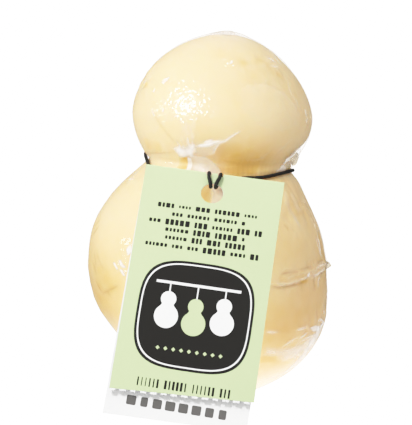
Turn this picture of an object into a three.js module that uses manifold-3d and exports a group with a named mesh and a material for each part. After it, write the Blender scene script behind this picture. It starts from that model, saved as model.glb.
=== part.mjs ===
// A scamorza cheese in a clear sealed bag, with an elastic cord round its neck that holds a folded card.
// Millimetres, +Z up. The cheese stands on a small flat foot centred on the origin, and the card faces -Y.

import * as THREE from "three";
import { mergeVertices } from "three/addons/utils/BufferGeometryUtils.js";
import Module from "manifold-3d";

const wasm = await Module();
wasm.setup();

const { degToRad, euclideanModulo, radToDeg, smoothstep } = THREE.MathUtils;

// The bag's two lobes: radius, the levels where each one starts, is widest and ends, how its sides round
// in below and above the widest level, how far it tilts to the left, and where its axis stands.
const BELLY = {
  radius: 39.4, low: -1.6, widest: 35.8, high: 76.2,
  lowPower: 1.7, lowRound: 0.36, highPower: 3.4, highRound: 0.74,
  tilt: 0.34, axisX: 0,
};
const HEAD = {
  radius: 29.1, low: 56.3, widest: 89.8, high: 115.7,
  lowPower: 2.0, lowRound: 1.03, highPower: 1.7, highRound: 0.515,
  tilt: 0.039, axisX: 4.8,
};
const JOIN_POWER = 2.2;
const DEPTH_RATIO = 0.91;
const FOOT_TILT_FADE = 36;
const CROWN_TILT_FADE = 12;

// Low on the left the belly swells a little, then tucks in towards the foot.
const LEFT_SIDE = {
  spread: degToRad(62), swell: 0.8, swellLevel: 30, swellTall: 6, tuck: 6.8, tuckFrom: 28.5, tuckTo: 2,
};

// The bag's rings of points, close together at the foot, in the neck and at the crown.
const BAG_AROUND = 60;
const NECK_BAND = { from: 64, to: 83 };
const FOOT_RINGS = { count: 20, crowding: 1.5 };
const NECK_RINGS = 18;
const CROWN_RINGS = { count: 16, crowding: 1.9 };

// A web of film bridges the groove between the lobes at the front.
const WEB = { height: 2.2, angle: degToRad(-93), spread: degToRad(11), level: 77.9, tall: 4.5 };

// The cord draws the neck in along its way. The way runs from the right of the card round the back to
// its left, as an angle, a level and, where it spans the hollow of the neck, how much further out it is.
const GROOVE = { depth: 1.9, tall: 2.4 };
const NECK_ROUTE = [
  [-72, 71.7, 0], [-58, 71.7, 0], [-42, 72.15, 0], [-26, 72.45, 0], [-8, 72.25, 0], [10, 71.5, 0],
  [28, 71.4, 0], [46, 72.1, 0], [64, 73.2, 0], [82, 74.3, 0], [102, 75.5, 0], [122, 76.5, 0],
  [142, 77.2, 0], [160, 77.5, 0.3], [172, 77.5, 0.6], [181, 76.9, 0.8], [189, 75.9, 0.5], [197, 74.9, 0.1],
  [206, 74.0, 0], [218, 73.1, 0], [232, 72.3, 0], [248, 71.9, 0],
];

// A pinched seam of film runs round the right side of the belly, and a short tuft stands on the crown.
const SEAM = {
  level: 41.6, wave: 0.7, waves: 1.5, from: degToRad(-62), to: degToRad(58),
  nub: 0.55, sunk: 0.75, radius: 0.7,
};
const SEAM_POINTS = 13;
const TUFT = { x: 5.1, y: -0.5, reach: 6.0, rise: 1.3, sunk: 2.0, thickness: 1.0 };
const BEAD = { curveSegments: 6, stepsPerPoint: 2 };
const ARCH_SEGMENTS = 12;

// Folded card: its front face hangs from the middle of its fold, turned, leaning out and rolled.
const CARD = {
  width: 41.7, frontLength: 66.1, backLength: 73.6, outOfSquare: 0.95, backOutOfSquare: 0.6,
  thickness: 0.36, foldGap: 0.14,
};
const FOLD_RADIUS = CARD.thickness + CARD.foldGap / 2;
const CARD_TOP = new THREE.Vector3(2.15, -29.1, 73.6);
const CARD_YAW = degToRad(-3);
const CARD_LEAN = degToRad(20);
const CARD_ROLL = degToRad(7.5);
const BACK_OPENING = degToRad(1.0);
const BACK_SKEW = degToRad(0.75);
const HOLE = { drop: 5.8, width: 6.7, height: 6.0 };
const HOLE_SEGMENTS = 24;
const NOTCH = { across: 1.75, down: -0.3, radius: 0.95, length: 8 * FOLD_RADIUS };
const FOLD_SIDES = 16;
const PERFORATION = { teeth: 14, depth: 0.5, land: 0.6, slope: 0.1 };

// Elastic cord, and how far its middle stays from the bag and from the card.
const CORD_DIAMETER = 1.25;
const CORD_OFF_BAG = 1.5;
const CORD_OFF_CARD = 1.0;
const CORD_SIDES = 8;
const CORD_STEPS_PER_SPAN = 4;

const BAG_MATERIAL = new THREE.MeshStandardMaterial({ color: 0xf2dfb0, roughness: 0.25, metalness: 0 });
const CORD_MATERIAL = new THREE.MeshStandardMaterial({ color: 0x2a2724, roughness: 0.75, metalness: 0 });
const CARD_MATERIAL = new THREE.MeshStandardMaterial({ color: 0xdfe9c6, roughness: 0.7, metalness: 0 });

// Radius of one lobe at a level: a rounded end below the widest level and another above it.
function lobeRadius(lobe, level) {
  if (level < lobe.widest) {
    const below = Math.min((lobe.widest - level) / (lobe.widest - lobe.low), 1);
    return lobe.radius * (1 - below ** lobe.lowPower) ** lobe.lowRound;
  }
  const above = Math.min((level - lobe.widest) / (lobe.high - lobe.widest), 1);
  return lobe.radius * (1 - above ** lobe.highPower) ** lobe.highRound;
}

// How far the left side stands out from the round belly, or in from it where it is negative.
function leftSide(angle, level) {
  const turn = Math.PI - Math.abs(Math.atan2(Math.sin(angle), Math.cos(angle)));
  const share = Math.exp(-((turn / LEFT_SIDE.spread) ** 2));
  const swell = LEFT_SIDE.swell * Math.exp(-(((level - LEFT_SIDE.swellLevel) / LEFT_SIDE.swellTall) ** 2));
  const tuck = LEFT_SIDE.tuck * (1 - smoothstep(level, LEFT_SIDE.tuckTo, LEFT_SIDE.tuckFrom));
  return share * (swell - tuck);
}

// The web's own height over the groove, at its strongest in the middle of the front.
function webHeight(angle, level) {
  const turn = Math.atan2(Math.sin(angle - WEB.angle), Math.cos(angle - WEB.angle));
  return WEB.height * Math.exp(-((turn / WEB.spread) ** 2) - ((level - WEB.level) / WEB.tall) ** 2);
}

// Level of the cord's way at an angle. Across the front, behind the card, it goes straight.
function cordLevel(angle) {
  const [firstAngle, firstLevel] = NECK_ROUTE[0];
  const [lastAngle, lastLevel] = NECK_ROUTE[NECK_ROUTE.length - 1];
  const degrees = euclideanModulo(radToDeg(angle) - firstAngle, 360) + firstAngle;
  const next = NECK_ROUTE.findIndex(([stop]) => stop > degrees);
  if (next < 0) {
    const across = (degrees - lastAngle) / (firstAngle + 360 - lastAngle);
    return lastLevel + (firstLevel - lastLevel) * across;
  }
  const [toAngle, toLevel] = NECK_ROUTE[next];
  const [fromAngle, fromLevel] = NECK_ROUTE[next - 1];
  return fromLevel + ((toLevel - fromLevel) * (degrees - fromAngle)) / (toAngle - fromAngle);
}

// Radius of the bag at an angle and a level. Each lobe's levels are sheared, so that it leans to the left.
function bagRadius(angle, level) {
  const bellyShear = smoothstep(HEAD.widest - level, 0, HEAD.widest) * smoothstep(level, 0, FOOT_TILT_FADE);
  const headShear = smoothstep(HEAD.high - level, 0, CROWN_TILT_FADE);
  const bellyLevel = level + BELLY.tilt * BELLY.radius * Math.cos(angle) * bellyShear;
  const headLevel = level + HEAD.tilt * HEAD.radius * Math.cos(angle) * headShear;
  const belly = lobeRadius(BELLY, bellyLevel) ** JOIN_POWER;
  const head = lobeRadius(HEAD, headLevel) ** JOIN_POWER;
  const groove = GROOVE.depth * Math.exp(-(((level - cordLevel(angle)) / GROOVE.tall) ** 2));
  return (belly + head) ** (1 / JOIN_POWER) + leftSide(angle, level) + webHeight(angle, level) - groove;
}

function bagAxisX(level) {
  return BELLY.axisX + (HEAD.axisX - BELLY.axisX) * smoothstep(level, BELLY.widest, HEAD.widest);
}

// A point on the bag, or at a distance off it.
function bagPoint(angle, level, off = 0) {
  const radius = bagRadius(angle, level);
  const x = bagAxisX(level) + (radius + off) * Math.cos(angle);
  const y = (DEPTH_RATIO * radius + off) * Math.sin(angle);
  return new THREE.Vector3(x, y, level);
}

// Levels of the bag's rings, from the foot up to just below the crown.
function ringLevels() {
  const levels = [];
  for (let ring = 0; ring < FOOT_RINGS.count; ring++) {
    levels.push(NECK_BAND.from * (ring / FOOT_RINGS.count) ** FOOT_RINGS.crowding);
  }
  for (let ring = 0; ring < NECK_RINGS; ring++) {
    levels.push(NECK_BAND.from + ((NECK_BAND.to - NECK_BAND.from) * ring) / NECK_RINGS);
  }
  for (let ring = CROWN_RINGS.count; ring > 0; ring--) {
    const toCrown = (ring / CROWN_RINGS.count) ** CROWN_RINGS.crowding;
    levels.push(HEAD.high - (HEAD.high - NECK_BAND.to) * toCrown);
  }
  return levels;
}

// Rings of points from the flat foot up to the crown, closed by a fan at each end.
function bagGeometry() {
  const levels = ringLevels();
  const points = [new THREE.Vector3(BELLY.axisX, 0, 0)];
  for (const level of levels) {
    for (let step = 0; step < BAG_AROUND; step++) {
      points.push(bagPoint((2 * Math.PI * step) / BAG_AROUND, level));
    }
  }
  points.push(new THREE.Vector3(bagAxisX(HEAD.high), 0, HEAD.high));
  const last = points.length - 1;
  const at = (ring, step) => 1 + ring * BAG_AROUND + (step % BAG_AROUND);
  const faces = [];
  for (let step = 0; step < BAG_AROUND; step++) {
    faces.push(0, at(0, step + 1), at(0, step));
    for (let ring = 0; ring < levels.length - 1; ring++) {
      faces.push(at(ring, step), at(ring, step + 1), at(ring + 1, step + 1));
      faces.push(at(ring, step), at(ring + 1, step + 1), at(ring + 1, step));
    }
    faces.push(at(levels.length - 1, step), at(levels.length - 1, step + 1), last);
  }
  const geometry = new THREE.BufferGeometry().setFromPoints(points);
  geometry.setIndex(faces);
  return geometry;
}

// A round bead of film along a curve, which the bag's skin partly covers.
function beadGeometry(points, radius) {
  const section = new THREE.Shape().absarc(0, 0, radius, 0, 2 * Math.PI);
  return new THREE.ExtrudeGeometry(section, {
    extrudePath: new THREE.CatmullRomCurve3(points),
    steps: BEAD.stepsPerPoint * points.length,
    curveSegments: BEAD.curveSegments,
  });
}

// The seam is proud of the belly in its middle and sinks into it at both ends.
function seamPoints() {
  const points = [];
  for (let i = 0; i < SEAM_POINTS; i++) {
    const share = i / (SEAM_POINTS - 1);
    const angle = SEAM.from + share * (SEAM.to - SEAM.from);
    const level = SEAM.level + SEAM.wave * Math.sin(2 * Math.PI * SEAM.waves * share);
    points.push(bagPoint(angle, level, (SEAM.nub + SEAM.sunk) * Math.sin(Math.PI * share) - SEAM.sunk));
  }
  return points;
}

// The tuft is a low arched fin, rooted in the crown.
function tuftGeometry() {
  const arch = new THREE.Shape();
  arch.absellipse(TUFT.x, HEAD.high - TUFT.sunk, TUFT.reach, TUFT.sunk + TUFT.rise, 0, Math.PI);
  const fin = new THREE.ExtrudeGeometry(arch, {
    depth: TUFT.thickness,
    bevelEnabled: false,
    curveSegments: ARCH_SEGMENTS,
  });
  return fin.rotateX(Math.PI / 2).translate(0, TUFT.y + TUFT.thickness / 2, 0);
}

// Solid of a closed geometry, for joining and cutting.
function solidOf(geometry) {
  const bare = geometry.clone();
  bare.deleteAttribute("normal");
  bare.deleteAttribute("uv");
  const merged = mergeVertices(bare);
  const vertProperties = new Float32Array(merged.attributes.position.array);
  const triVerts = new Uint32Array(merged.index.array);
  return new wasm.Manifold(new wasm.Mesh({ numProp: 3, vertProperties, triVerts }));
}

function geometryOf(solid) {
  const mesh = solid.getMesh();
  const geometry = new THREE.BufferGeometry();
  geometry.setAttribute("position", new THREE.BufferAttribute(mesh.vertProperties, 3));
  geometry.setIndex(new THREE.BufferAttribute(mesh.triVerts, 1));
  geometry.computeVertexNormals();
  return geometry;
}

// One panel of the card, lying in the XY plane with its fold along X and its face at z = 0.
function panelGeometry(length, outOfSquare, teeth) {
  const half = CARD.width / 2;
  const outline = new THREE.Shape();
  outline.moveTo(-half, 0);
  outline.lineTo(-half, -length - outOfSquare);
  const lowEdge = (share) => -length - outOfSquare * (1 - 2 * share);
  for (let tooth = 0; tooth < teeth; tooth++) {
    const { depth, land, slope } = PERFORATION;
    for (const [along, rise] of [[0, 0], [land, 0], [land + slope, depth], [1 - slope, depth]]) {
      const share = (tooth + along) / teeth;
      outline.lineTo(-half + CARD.width * share, lowEdge(share) + rise);
    }
  }
  outline.lineTo(half, -length + outOfSquare);
  outline.lineTo(half, 0);
  const hole = new THREE.Path().absellipse(0, -HOLE.drop, HOLE.width / 2, HOLE.height / 2, 0, 2 * Math.PI);
  outline.holes.push(hole);
  const sheet = new THREE.ExtrudeGeometry(outline, {
    depth: CARD.thickness,
    bevelEnabled: false,
    curveSegments: HOLE_SEGMENTS,
  });
  return sheet.translate(0, 0, -CARD.thickness);
}

// Front panel, back panel and the rounded fold that joins them, with the front face on the plane y = 0.
// The cord's two strands have pressed a notch each into the fold.
function cardGeometry() {
  const front = panelGeometry(CARD.frontLength, CARD.outOfSquare, PERFORATION.teeth);
  const back = panelGeometry(CARD.backLength, CARD.backOutOfSquare, 0);
  back.rotateZ(-BACK_SKEW);
  back.rotateX(BACK_OPENING);
  back.translate(0, 0, -CARD.thickness - CARD.foldGap);
  const fold = new THREE.CylinderGeometry(FOLD_RADIUS, FOLD_RADIUS, CARD.width, FOLD_SIDES);
  fold.rotateZ(Math.PI / 2);
  fold.translate(0, 0, -FOLD_RADIUS);
  let card = solidOf(front).add(solidOf(back)).add(solidOf(fold));
  for (const side of [-1, 1]) {
    const notch = new THREE.CylinderGeometry(NOTCH.radius, NOTCH.radius, NOTCH.length, FOLD_SIDES);
    notch.rotateX(Math.PI / 2).translate(side * NOTCH.across, -NOTCH.down, 0);
    card = card.subtract(solidOf(notch));
  }
  return geometryOf(card).rotateX(Math.PI / 2);
}

function cardMatrix() {
  const turned = new THREE.Matrix4().makeRotationZ(CARD_YAW);
  turned.multiply(new THREE.Matrix4().makeRotationX(-CARD_LEAN));
  turned.multiply(new THREE.Matrix4().makeRotationY(CARD_ROLL));
  return turned.setPosition(CARD_TOP);
}

// Half of the cord's way on the card, from behind the hole out to the front, over the fold and back:
// across, down and out of the card's face. The other half mirrors it.
const BACK_OF_CARD = -2 * FOLD_RADIUS;
const HOLE_TOP = HOLE.drop - HOLE.height / 2;
const CARD_ROUTE = [
  [0.95, HOLE_TOP - 0.3, BACK_OF_CARD - CORD_OFF_CARD],
  [0.92, HOLE_TOP + 0.75, BACK_OF_CARD - 0.6],
  [0.9, HOLE_TOP + 1.15, BACK_OF_CARD / 2],
  [0.95, HOLE_TOP + 0.75, 0.6],
  [1.1, HOLE_TOP - 0.4, CORD_OFF_CARD],
  [1.55, 1.2, CORD_OFF_CARD],
  [NOTCH.across, 0.1, 0.75],
  [NOTCH.across, NOTCH.down, BACK_OF_CARD / 2],
  [NOTCH.across + 0.1, 0.1, BACK_OF_CARD - 0.8],
  [2.9, 1.0, BACK_OF_CARD - 1.9],
];

const CORD_BIGHT = [0, HOLE_TOP - 1.25, BACK_OF_CARD - CORD_OFF_CARD - 0.1];

// Shares its steps equally between the spans, so that the tight bends at the card get short ones.
class SpanCurve extends THREE.CatmullRomCurve3 {
  getPointAt(share, target) {
    return this.getPoint(share, target);
  }

  getTangentAt(share, target) {
    return this.getTangent(share, target);
  }
}

function cordGeometry(cardPlace) {
  const onCard = (side) => ([across, down, out]) =>
    new THREE.Vector3(side * across, -out, -down).applyMatrix4(cardPlace);
  const points = [
    onCard(1)(CORD_BIGHT),
    ...CARD_ROUTE.map(onCard(1)),
    ...NECK_ROUTE.map(([angle, level, further]) => bagPoint(degToRad(angle), level, CORD_OFF_BAG + further)),
    ...CARD_ROUTE.map(onCard(-1)).reverse(),
  ];
  const route = new SpanCurve(points, true);
  const steps = CORD_STEPS_PER_SPAN * points.length;
  return new THREE.TubeGeometry(route, steps, CORD_DIAMETER / 2, CORD_SIDES, true);
}

// Closed tube whose first and last rings are one.
function closedLoop(geometry) {
  return geometryOf(solidOf(geometry));
}

function wrappedCheese() {
  const seam = solidOf(beadGeometry(seamPoints(), SEAM.radius));
  const tuft = solidOf(tuftGeometry());
  const bag = solidOf(bagGeometry()).add(seam).add(tuft);
  return new THREE.Mesh(geometryOf(bag), BAG_MATERIAL);
}

function hangTag(cardPlace) {
  const card = new THREE.Mesh(cardGeometry(), CARD_MATERIAL);
  card.applyMatrix4(cardPlace);
  return card;
}

const cardPlace = cardMatrix();
const scamorza = new THREE.Group();
const pieces = {
  wrapped_cheese: wrappedCheese(),
  neck_cord: new THREE.Mesh(closedLoop(cordGeometry(cardPlace)), CORD_MATERIAL),
  hang_tag: hangTag(cardPlace),
};
for (const [name, mesh] of Object.entries(pieces)) {
  mesh.name = name;
  scamorza.add(mesh);
}

export default scamorza;
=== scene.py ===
# A scamorza in a clear sealed bag, with an elastic cord round its neck that holds a folded card.
# Metres, +Z up. The cheese stands on the origin and the card faces -Y.

import itertools
import math
import random

import bpy
import numpy as np
from mathutils import Matrix, Vector
from mathutils.geometry import tessellate_polygon


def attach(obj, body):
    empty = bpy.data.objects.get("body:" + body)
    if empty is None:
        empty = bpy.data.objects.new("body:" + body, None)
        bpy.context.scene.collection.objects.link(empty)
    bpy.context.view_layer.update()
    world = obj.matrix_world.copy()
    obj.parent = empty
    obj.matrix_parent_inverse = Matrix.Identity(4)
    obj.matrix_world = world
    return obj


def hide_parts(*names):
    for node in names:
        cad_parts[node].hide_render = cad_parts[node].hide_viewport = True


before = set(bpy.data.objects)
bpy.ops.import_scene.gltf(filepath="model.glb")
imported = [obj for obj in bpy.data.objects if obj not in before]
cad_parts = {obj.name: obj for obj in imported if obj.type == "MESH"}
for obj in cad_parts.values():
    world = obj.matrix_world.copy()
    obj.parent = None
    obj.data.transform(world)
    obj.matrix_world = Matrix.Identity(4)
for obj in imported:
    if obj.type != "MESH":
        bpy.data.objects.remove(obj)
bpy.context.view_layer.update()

MM = 0.001

# Camera: the point that it looks at, how far away and how high it stands, and the picture's height there.
LOOK_AT = Vector((-0.5, 0, 58.06)) * MM
CAMERA_DISTANCE = 350 * MM
CAMERA_ELEVATION = math.radians(8)
PICTURE_ROWS = 425
ROW_HEIGHT = 0.327 * MM
FRAME_HEIGHT = PICTURE_ROWS * ROW_HEIGHT
SENSOR_HEIGHT = 24
NEAREST_SEEN = 10 * MM

# The bag's two lobes, as in the solid: radius, the levels where each one starts, is widest and ends, how
# its sides round in below and above the widest level, its tilt to the left, and the place of its axis.
BELLY = dict(
    radius=39.4 * MM, low=-1.6 * MM, widest=35.8 * MM, high=76.2 * MM,
    low_power=1.7, low_round=0.36, high_power=3.4, high_round=0.74, tilt=0.34, axis_x=0,
)
HEAD = dict(
    radius=29.1 * MM, low=56.3 * MM, widest=89.8 * MM, high=115.7 * MM,
    low_power=2.0, low_round=1.03, high_power=1.7, high_round=0.515, tilt=0.039, axis_x=4.8 * MM,
)
JOIN_POWER = 2.2
DEPTH_RATIO = 0.91
FOOT_TILT_FADE = 36 * MM
CROWN_TILT_FADE = 12 * MM
WEB = dict(
    height=2.2 * MM, angle=math.radians(-93), spread=math.radians(11), level=77.9 * MM, tall=4.5 * MM,
)
GROOVE = dict(depth=1.9 * MM, tall=2.4 * MM)

# Low on the left the belly swells a little, then tucks in towards the foot.
LEFT_SIDE = dict(
    spread=math.radians(62), swell=0.8 * MM, swell_level=30 * MM, swell_tall=6 * MM,
    tuck=6.8 * MM, tuck_from=28.5 * MM, tuck_to=2 * MM,
)

# The cord's way round the neck, from the right of the card round the back to its left: angle, level and,
# where it spans the hollow of the neck, how much further out it is.
NECK_ROUTE = [
    (math.radians(angle), level * MM, further * MM)
    for angle, level, further in (
        (-72, 71.7, 0), (-58, 71.7, 0), (-42, 72.15, 0), (-26, 72.45, 0), (-8, 72.25, 0), (10, 71.5, 0),
        (28, 71.4, 0), (46, 72.1, 0), (64, 73.2, 0), (82, 74.3, 0), (102, 75.5, 0), (122, 76.5, 0),
        (142, 77.2, 0), (160, 77.5, 0.3), (172, 77.5, 0.6), (181, 76.9, 0.8), (189, 75.9, 0.5),
        (197, 74.9, 0.1), (206, 74.0, 0), (218, 73.1, 0), (232, 72.3, 0), (248, 71.9, 0),
    )
]

# Folded card, as in the solid.
CARD_WIDTH = 41.7 * MM
CARD_FRONT = 66.1 * MM
CARD_BACK = 73.6 * MM
FRONT_OUT_OF_SQUARE = 0.95 * MM
BACK_OUT_OF_SQUARE = 0.6 * MM
CARD_THICKNESS = 0.36 * MM
FOLD_GAP = 0.14 * MM
FOLD_RADIUS = CARD_THICKNESS + FOLD_GAP / 2
CARD_TOP = Vector((2.15, -29.1, 73.6)) * MM
CARD_YAW = math.radians(-3)
CARD_LEAN = math.radians(20)
CARD_ROLL = math.radians(7.5)
BACK_OPENING = math.radians(1.0)
BACK_SKEW = math.radians(0.75)
HOLE = dict(drop=5.8 * MM, width=6.7 * MM, height=6.0 * MM)
NOTCH = dict(across=1.75 * MM, down=-0.3 * MM, radius=0.95 * MM)
PERFORATION = dict(teeth=14, depth=0.5 * MM, land=0.6, overlap=1.1, thinner=0.9, seed=5)
GREEN_LAYER = 0.012 * MM

# Steps of the card's round outlines, and half the width that each notch cuts out of the fold.
NOTCH_STEPS = 10
HOLE_STEPS = 48
FOLD_STEPS = 12
FOLD_CUT = 0.97 * NOTCH["radius"]

# Elastic cord: how far its middle stays from the bag and the card, and its braid.
CORD_RADIUS = 0.625 * MM
CORD_OFF_BAG = 1.5 * MM
CORD_OFF_CARD = 1.0 * MM
CORD_CLEARANCE = CORD_OFF_BAG - CORD_RADIUS
STRAND_RADIUS = 0.17 * MM
STRAND_WEAVE = 0.06 * MM
STRANDS = 8
STRAND_SIDES = 5
CORE_SIDES = 8
BRAID_PITCH = 3.0 * MM
BRAID_STEP = 0.2 * MM
CORD_STEPS = 12

# The film lies close round the cord, with a slope below it. The cheese's own skin stays inside the film,
# most of all under the web.
FILM_GROOVE_ABOVE = 1.0 * MM
FILM_GROOVE_BELOW = 2.4 * MM
FILM_GAP = 0.15 * MM
CLING = 0.6
LOOSE_PLACES = [
    dict(depth=3.0 * MM, angle=math.radians(-100), spread=math.radians(20), level=77.5 * MM, tall=4.5 * MM),
    dict(depth=1.9 * MM, angle=math.radians(-12), spread=math.radians(24), level=77.2 * MM, tall=3.2 * MM),
]

# Panels of film above and below the cord: first and last angle in degrees, columns and rows of points.
HEAD_PANELS = {"film_head_front": (-185, 5, 400, 215), "film_head_back": (5, 175, 130, 110)}
BELLY_PANELS = {
    "film_belly_left": (-185, -90, 260, 300), "film_belly_right": (-90, 5, 260, 300),
    "film_belly_back": (5, 175, 170, 170),
}
# How rows of points crowd together towards the crown and the foot, and the film's lowest level.
CROWN_CROWDING = 1.6
CROWN_LAST_ROW = 0.004
FOOT_CROWDING = 1.3
FILM_LOWEST = 0.02 * MM

# Cheese: points round it and rings, the level of its foot, its lowest level and smallest radius, and how
# much its rings crowd at both ends. Then its lumps: height, length and seed of each wave.
CHEESE_AROUND = 320
CHEESE_RINGS = 210
CHEESE_FOOT = 0.3 * MM
CHEESE_LOWEST = 0.1 * MM
CHEESE_NARROWEST = 0.2 * MM
CHEESE_CROWDING = 0.35
CHEESE_LUMPS = [(0.2 * MM, 16 * MM, 3), (0.05 * MM, 5 * MM, 4)]


# Nodes, materials and meshes

def put(tree, kind, sockets=None, **settings):
    """Adds a node, with its settings and what goes into its sockets: a value or another node's output."""
    node = tree.nodes.new(kind)
    for name, value in settings.items():
        setattr(node, name, value)
    for socket, value in (sockets or {}).items():
        if isinstance(value, bpy.types.NodeSocket):
            tree.links.new(value, node.inputs[socket])
        else:
            node.inputs[socket].default_value = value
    return node


def calculate(tree, operation, first, second=0.0, **settings):
    return put(tree, "ShaderNodeMath", {0: first, 1: second}, operation=operation, **settings).outputs[0]


def ramp(tree, value, from_low, from_high, to_low, to_high, **settings):
    """A value taken from one range to another."""
    return put(tree, "ShaderNodeMapRange", {
        "Value": value, "From Min": from_low, "From Max": from_high, "To Min": to_low, "To Max": to_high,
    }, **settings).outputs[0]


def blend(tree, share, first, second):
    """Two shaders, of which the second has the share."""
    return put(tree, "ShaderNodeMixShader", {0: share, 1: first.outputs[0], 2: second.outputs[0]})


def mixed_color(tree, share, first, second, **settings):
    sockets = {0: share, 6: first, 7: second}
    return put(tree, "ShaderNodeMix", sockets, data_type="RGBA", **settings).outputs[2]


def object_place(tree):
    return put(tree, "ShaderNodeTexCoord").outputs["Object"]


def grain(tree, place, scale, detail, roughness=0.5):
    return put(tree, "ShaderNodeTexNoise", {
        "Vector": place, "Scale": scale, "Detail": detail, "Roughness": roughness,
    }).outputs[0]


def painted_value(tree, name):
    """The number that a mesh keeps for each of its points under this name."""
    return put(tree, "ShaderNodeAttribute", attribute_name=name).outputs["Fac"]


def embossed(tree, height, strength, distance):
    """Surface directions with a fine relief."""
    return put(tree, "ShaderNodeBump", {
        "Height": height, "Strength": strength, "Distance": distance,
    }).outputs[0]


def new_material(name):
    material = bpy.data.materials.new(name)
    material.use_nodes = True
    material.node_tree.nodes.clear()
    return material, material.node_tree


def surface(tree, shader):
    put(tree, "ShaderNodeOutputMaterial", {"Surface": shader.outputs[0]})


def new_tree(name, inputs):
    """A Geometry Nodes tree with a geometry going in and out, and named inputs.

    Gives the tree and its inputs.
    """
    tree = bpy.data.node_groups.new(name, "GeometryNodeTree")
    tree.interface.new_socket("Geometry", in_out="INPUT", socket_type="NodeSocketGeometry")
    for label, kind in inputs.items():
        tree.interface.new_socket(label, in_out="INPUT", socket_type=kind)
    tree.interface.new_socket("Geometry", in_out="OUTPUT", socket_type="NodeSocketGeometry")
    return tree, put(tree, "NodeGroupInput").outputs


def end_tree(tree, geometry, material):
    """The tree's last nodes: real geometry with its material."""
    real = put(tree, "GeometryNodeRealizeInstances", {"Geometry": geometry})
    painted = put(tree, "GeometryNodeSetMaterial", {"Geometry": real.outputs[0], "Material": material})
    put(tree, "NodeGroupOutput", {"Geometry": painted.outputs[0]})


def add_object(name, mesh):
    piece = bpy.data.objects.new(name, mesh)
    bpy.context.scene.collection.objects.link(piece)
    return piece


def grown(name, mesh, tree, values):
    """A plain mesh object that a Geometry Nodes tree grows from a mesh."""
    piece = add_object(name, mesh)
    modifier = piece.modifiers.new(name, "NODES")
    modifier.node_group = tree
    for item in tree.interface.items_tree:
        if item.in_out == "INPUT" and item.name in values:
            modifier[item.identifier] = values[item.name]
    evaluated = piece.evaluated_get(bpy.context.evaluated_depsgraph_get())
    result = bpy.data.meshes.new_from_object(evaluated)
    piece.modifiers.clear()
    piece.data = result
    result.name = name
    return piece


def mesh_from(name, points, faces, material=None, smooth=True):
    mesh = bpy.data.meshes.new(name)
    mesh.from_pydata([tuple(point) for point in points], [], [tuple(face) for face in faces])
    mesh.polygons.foreach_set("use_smooth", [smooth] * len(mesh.polygons))
    if material:
        mesh.materials.append(material)
    mesh.update()
    return mesh


def paint(mesh, name, values):
    """Keeps one number for each point of a mesh, for its material to read."""
    attribute = mesh.attributes.new(name, "FLOAT", "POINT")
    attribute.data.foreach_set("value", np.asarray(values, np.float32))


# Shapes of fields over the surface

# Numbers that scatter the noise: how far apart two seeds lie, and what stirs a cell's place. Then how
# steep the crests of creased noise are, and the smallest number that is divided by.
SEED_STEP = 17.3
CELL_PRIMES = (73856093, 19349663, 83492791)
STIR_PRIME = 1274126177
LOW_BITS = 0xFFFF
CREST_SLOPE = 3
TINY = 1e-12


def smoothstep(value, low, high):
    share = np.clip((value - low) / (high - low), 0, 1)
    return share * share * (3 - 2 * share)


def bump(value, spread):
    return np.exp(-((value / spread) ** 2))


def noise(points, wave, seed):
    """Smooth noise from -1 to 1 at the points, with swells about as long as wave."""
    grid = points / wave + SEED_STEP * seed
    cell = np.floor(grid).astype(np.int64)
    share = smoothstep(grid - cell, 0, 1)
    total = np.zeros(len(points))
    for corner in itertools.product((0, 1), repeat=3):
        place = cell + np.array(corner)
        mixed = np.bitwise_xor.reduce(place * CELL_PRIMES, axis=1)
        mixed = (mixed ^ (mixed >> 13)) * STIR_PRIME
        value = ((mixed ^ (mixed >> 16)) & LOW_BITS) / (LOW_BITS / 2) - 1
        weight = np.prod(np.where(corner, share, 1 - share), axis=1)
        total += weight * value
    return total


def creased(points, wave, seed):
    """Noise with sharp crests, as crumpled film has, from -1 to 1."""
    fold = 1 - CREST_SLOPE * np.abs(noise(points, wave, seed))
    return np.maximum(fold, -1)


def mottle(points, mean, swing, wave, seed, field=noise):
    """A strength that swings about its mean from place to place."""
    return mean + swing * field(points, wave, seed)


def waves(points, sizes):
    """Waves of noise on top of each other, each a height, a length and a seed."""
    return sum(height * noise(points, length, seed) for height, length, seed in sizes)


def shaken(points, far, wave, seed):
    """The points, each moved a little in all three directions."""
    return points + far * np.stack([noise(points, wave, seed + i) for i in range(3)], axis=1)


def smooth_line(points, steps, closed=False):
    """A curve through the points, close to round at each one."""
    points = np.asarray(points, float)
    count = len(points)
    spans = count if closed else count - 1
    line = []
    for span in range(spans):
        if closed:
            p0, p1, p2, p3 = (points[(span + i) % count] for i in (-1, 0, 1, 2))
        else:
            p1, p2 = points[span], points[span + 1]
            p0 = points[span - 1] if span > 0 else 2 * p1 - p2
            p3 = points[span + 2] if span + 2 < count else 2 * p2 - p1
        d0, d1, d2 = (np.linalg.norm(b - a) ** 0.5 for a, b in ((p0, p1), (p1, p2), (p2, p3)))
        t1 = ((p1 - p0) / d0 - (p2 - p0) / (d0 + d1) + (p2 - p1) / d1) * d1
        t2 = ((p2 - p1) / d1 - (p3 - p1) / (d1 + d2) + (p3 - p2) / d2) * d1
        for step in range(steps):
            t = step / steps
            line.append(
                (2 * t**3 - 3 * t**2 + 1) * p1 + (t**3 - 2 * t**2 + t) * t1
                + (3 * t**2 - 2 * t**3) * p2 + (t**3 - t**2) * t2
            )
    if not closed:
        line.append(points[-1])
    return np.array(line)


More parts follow.
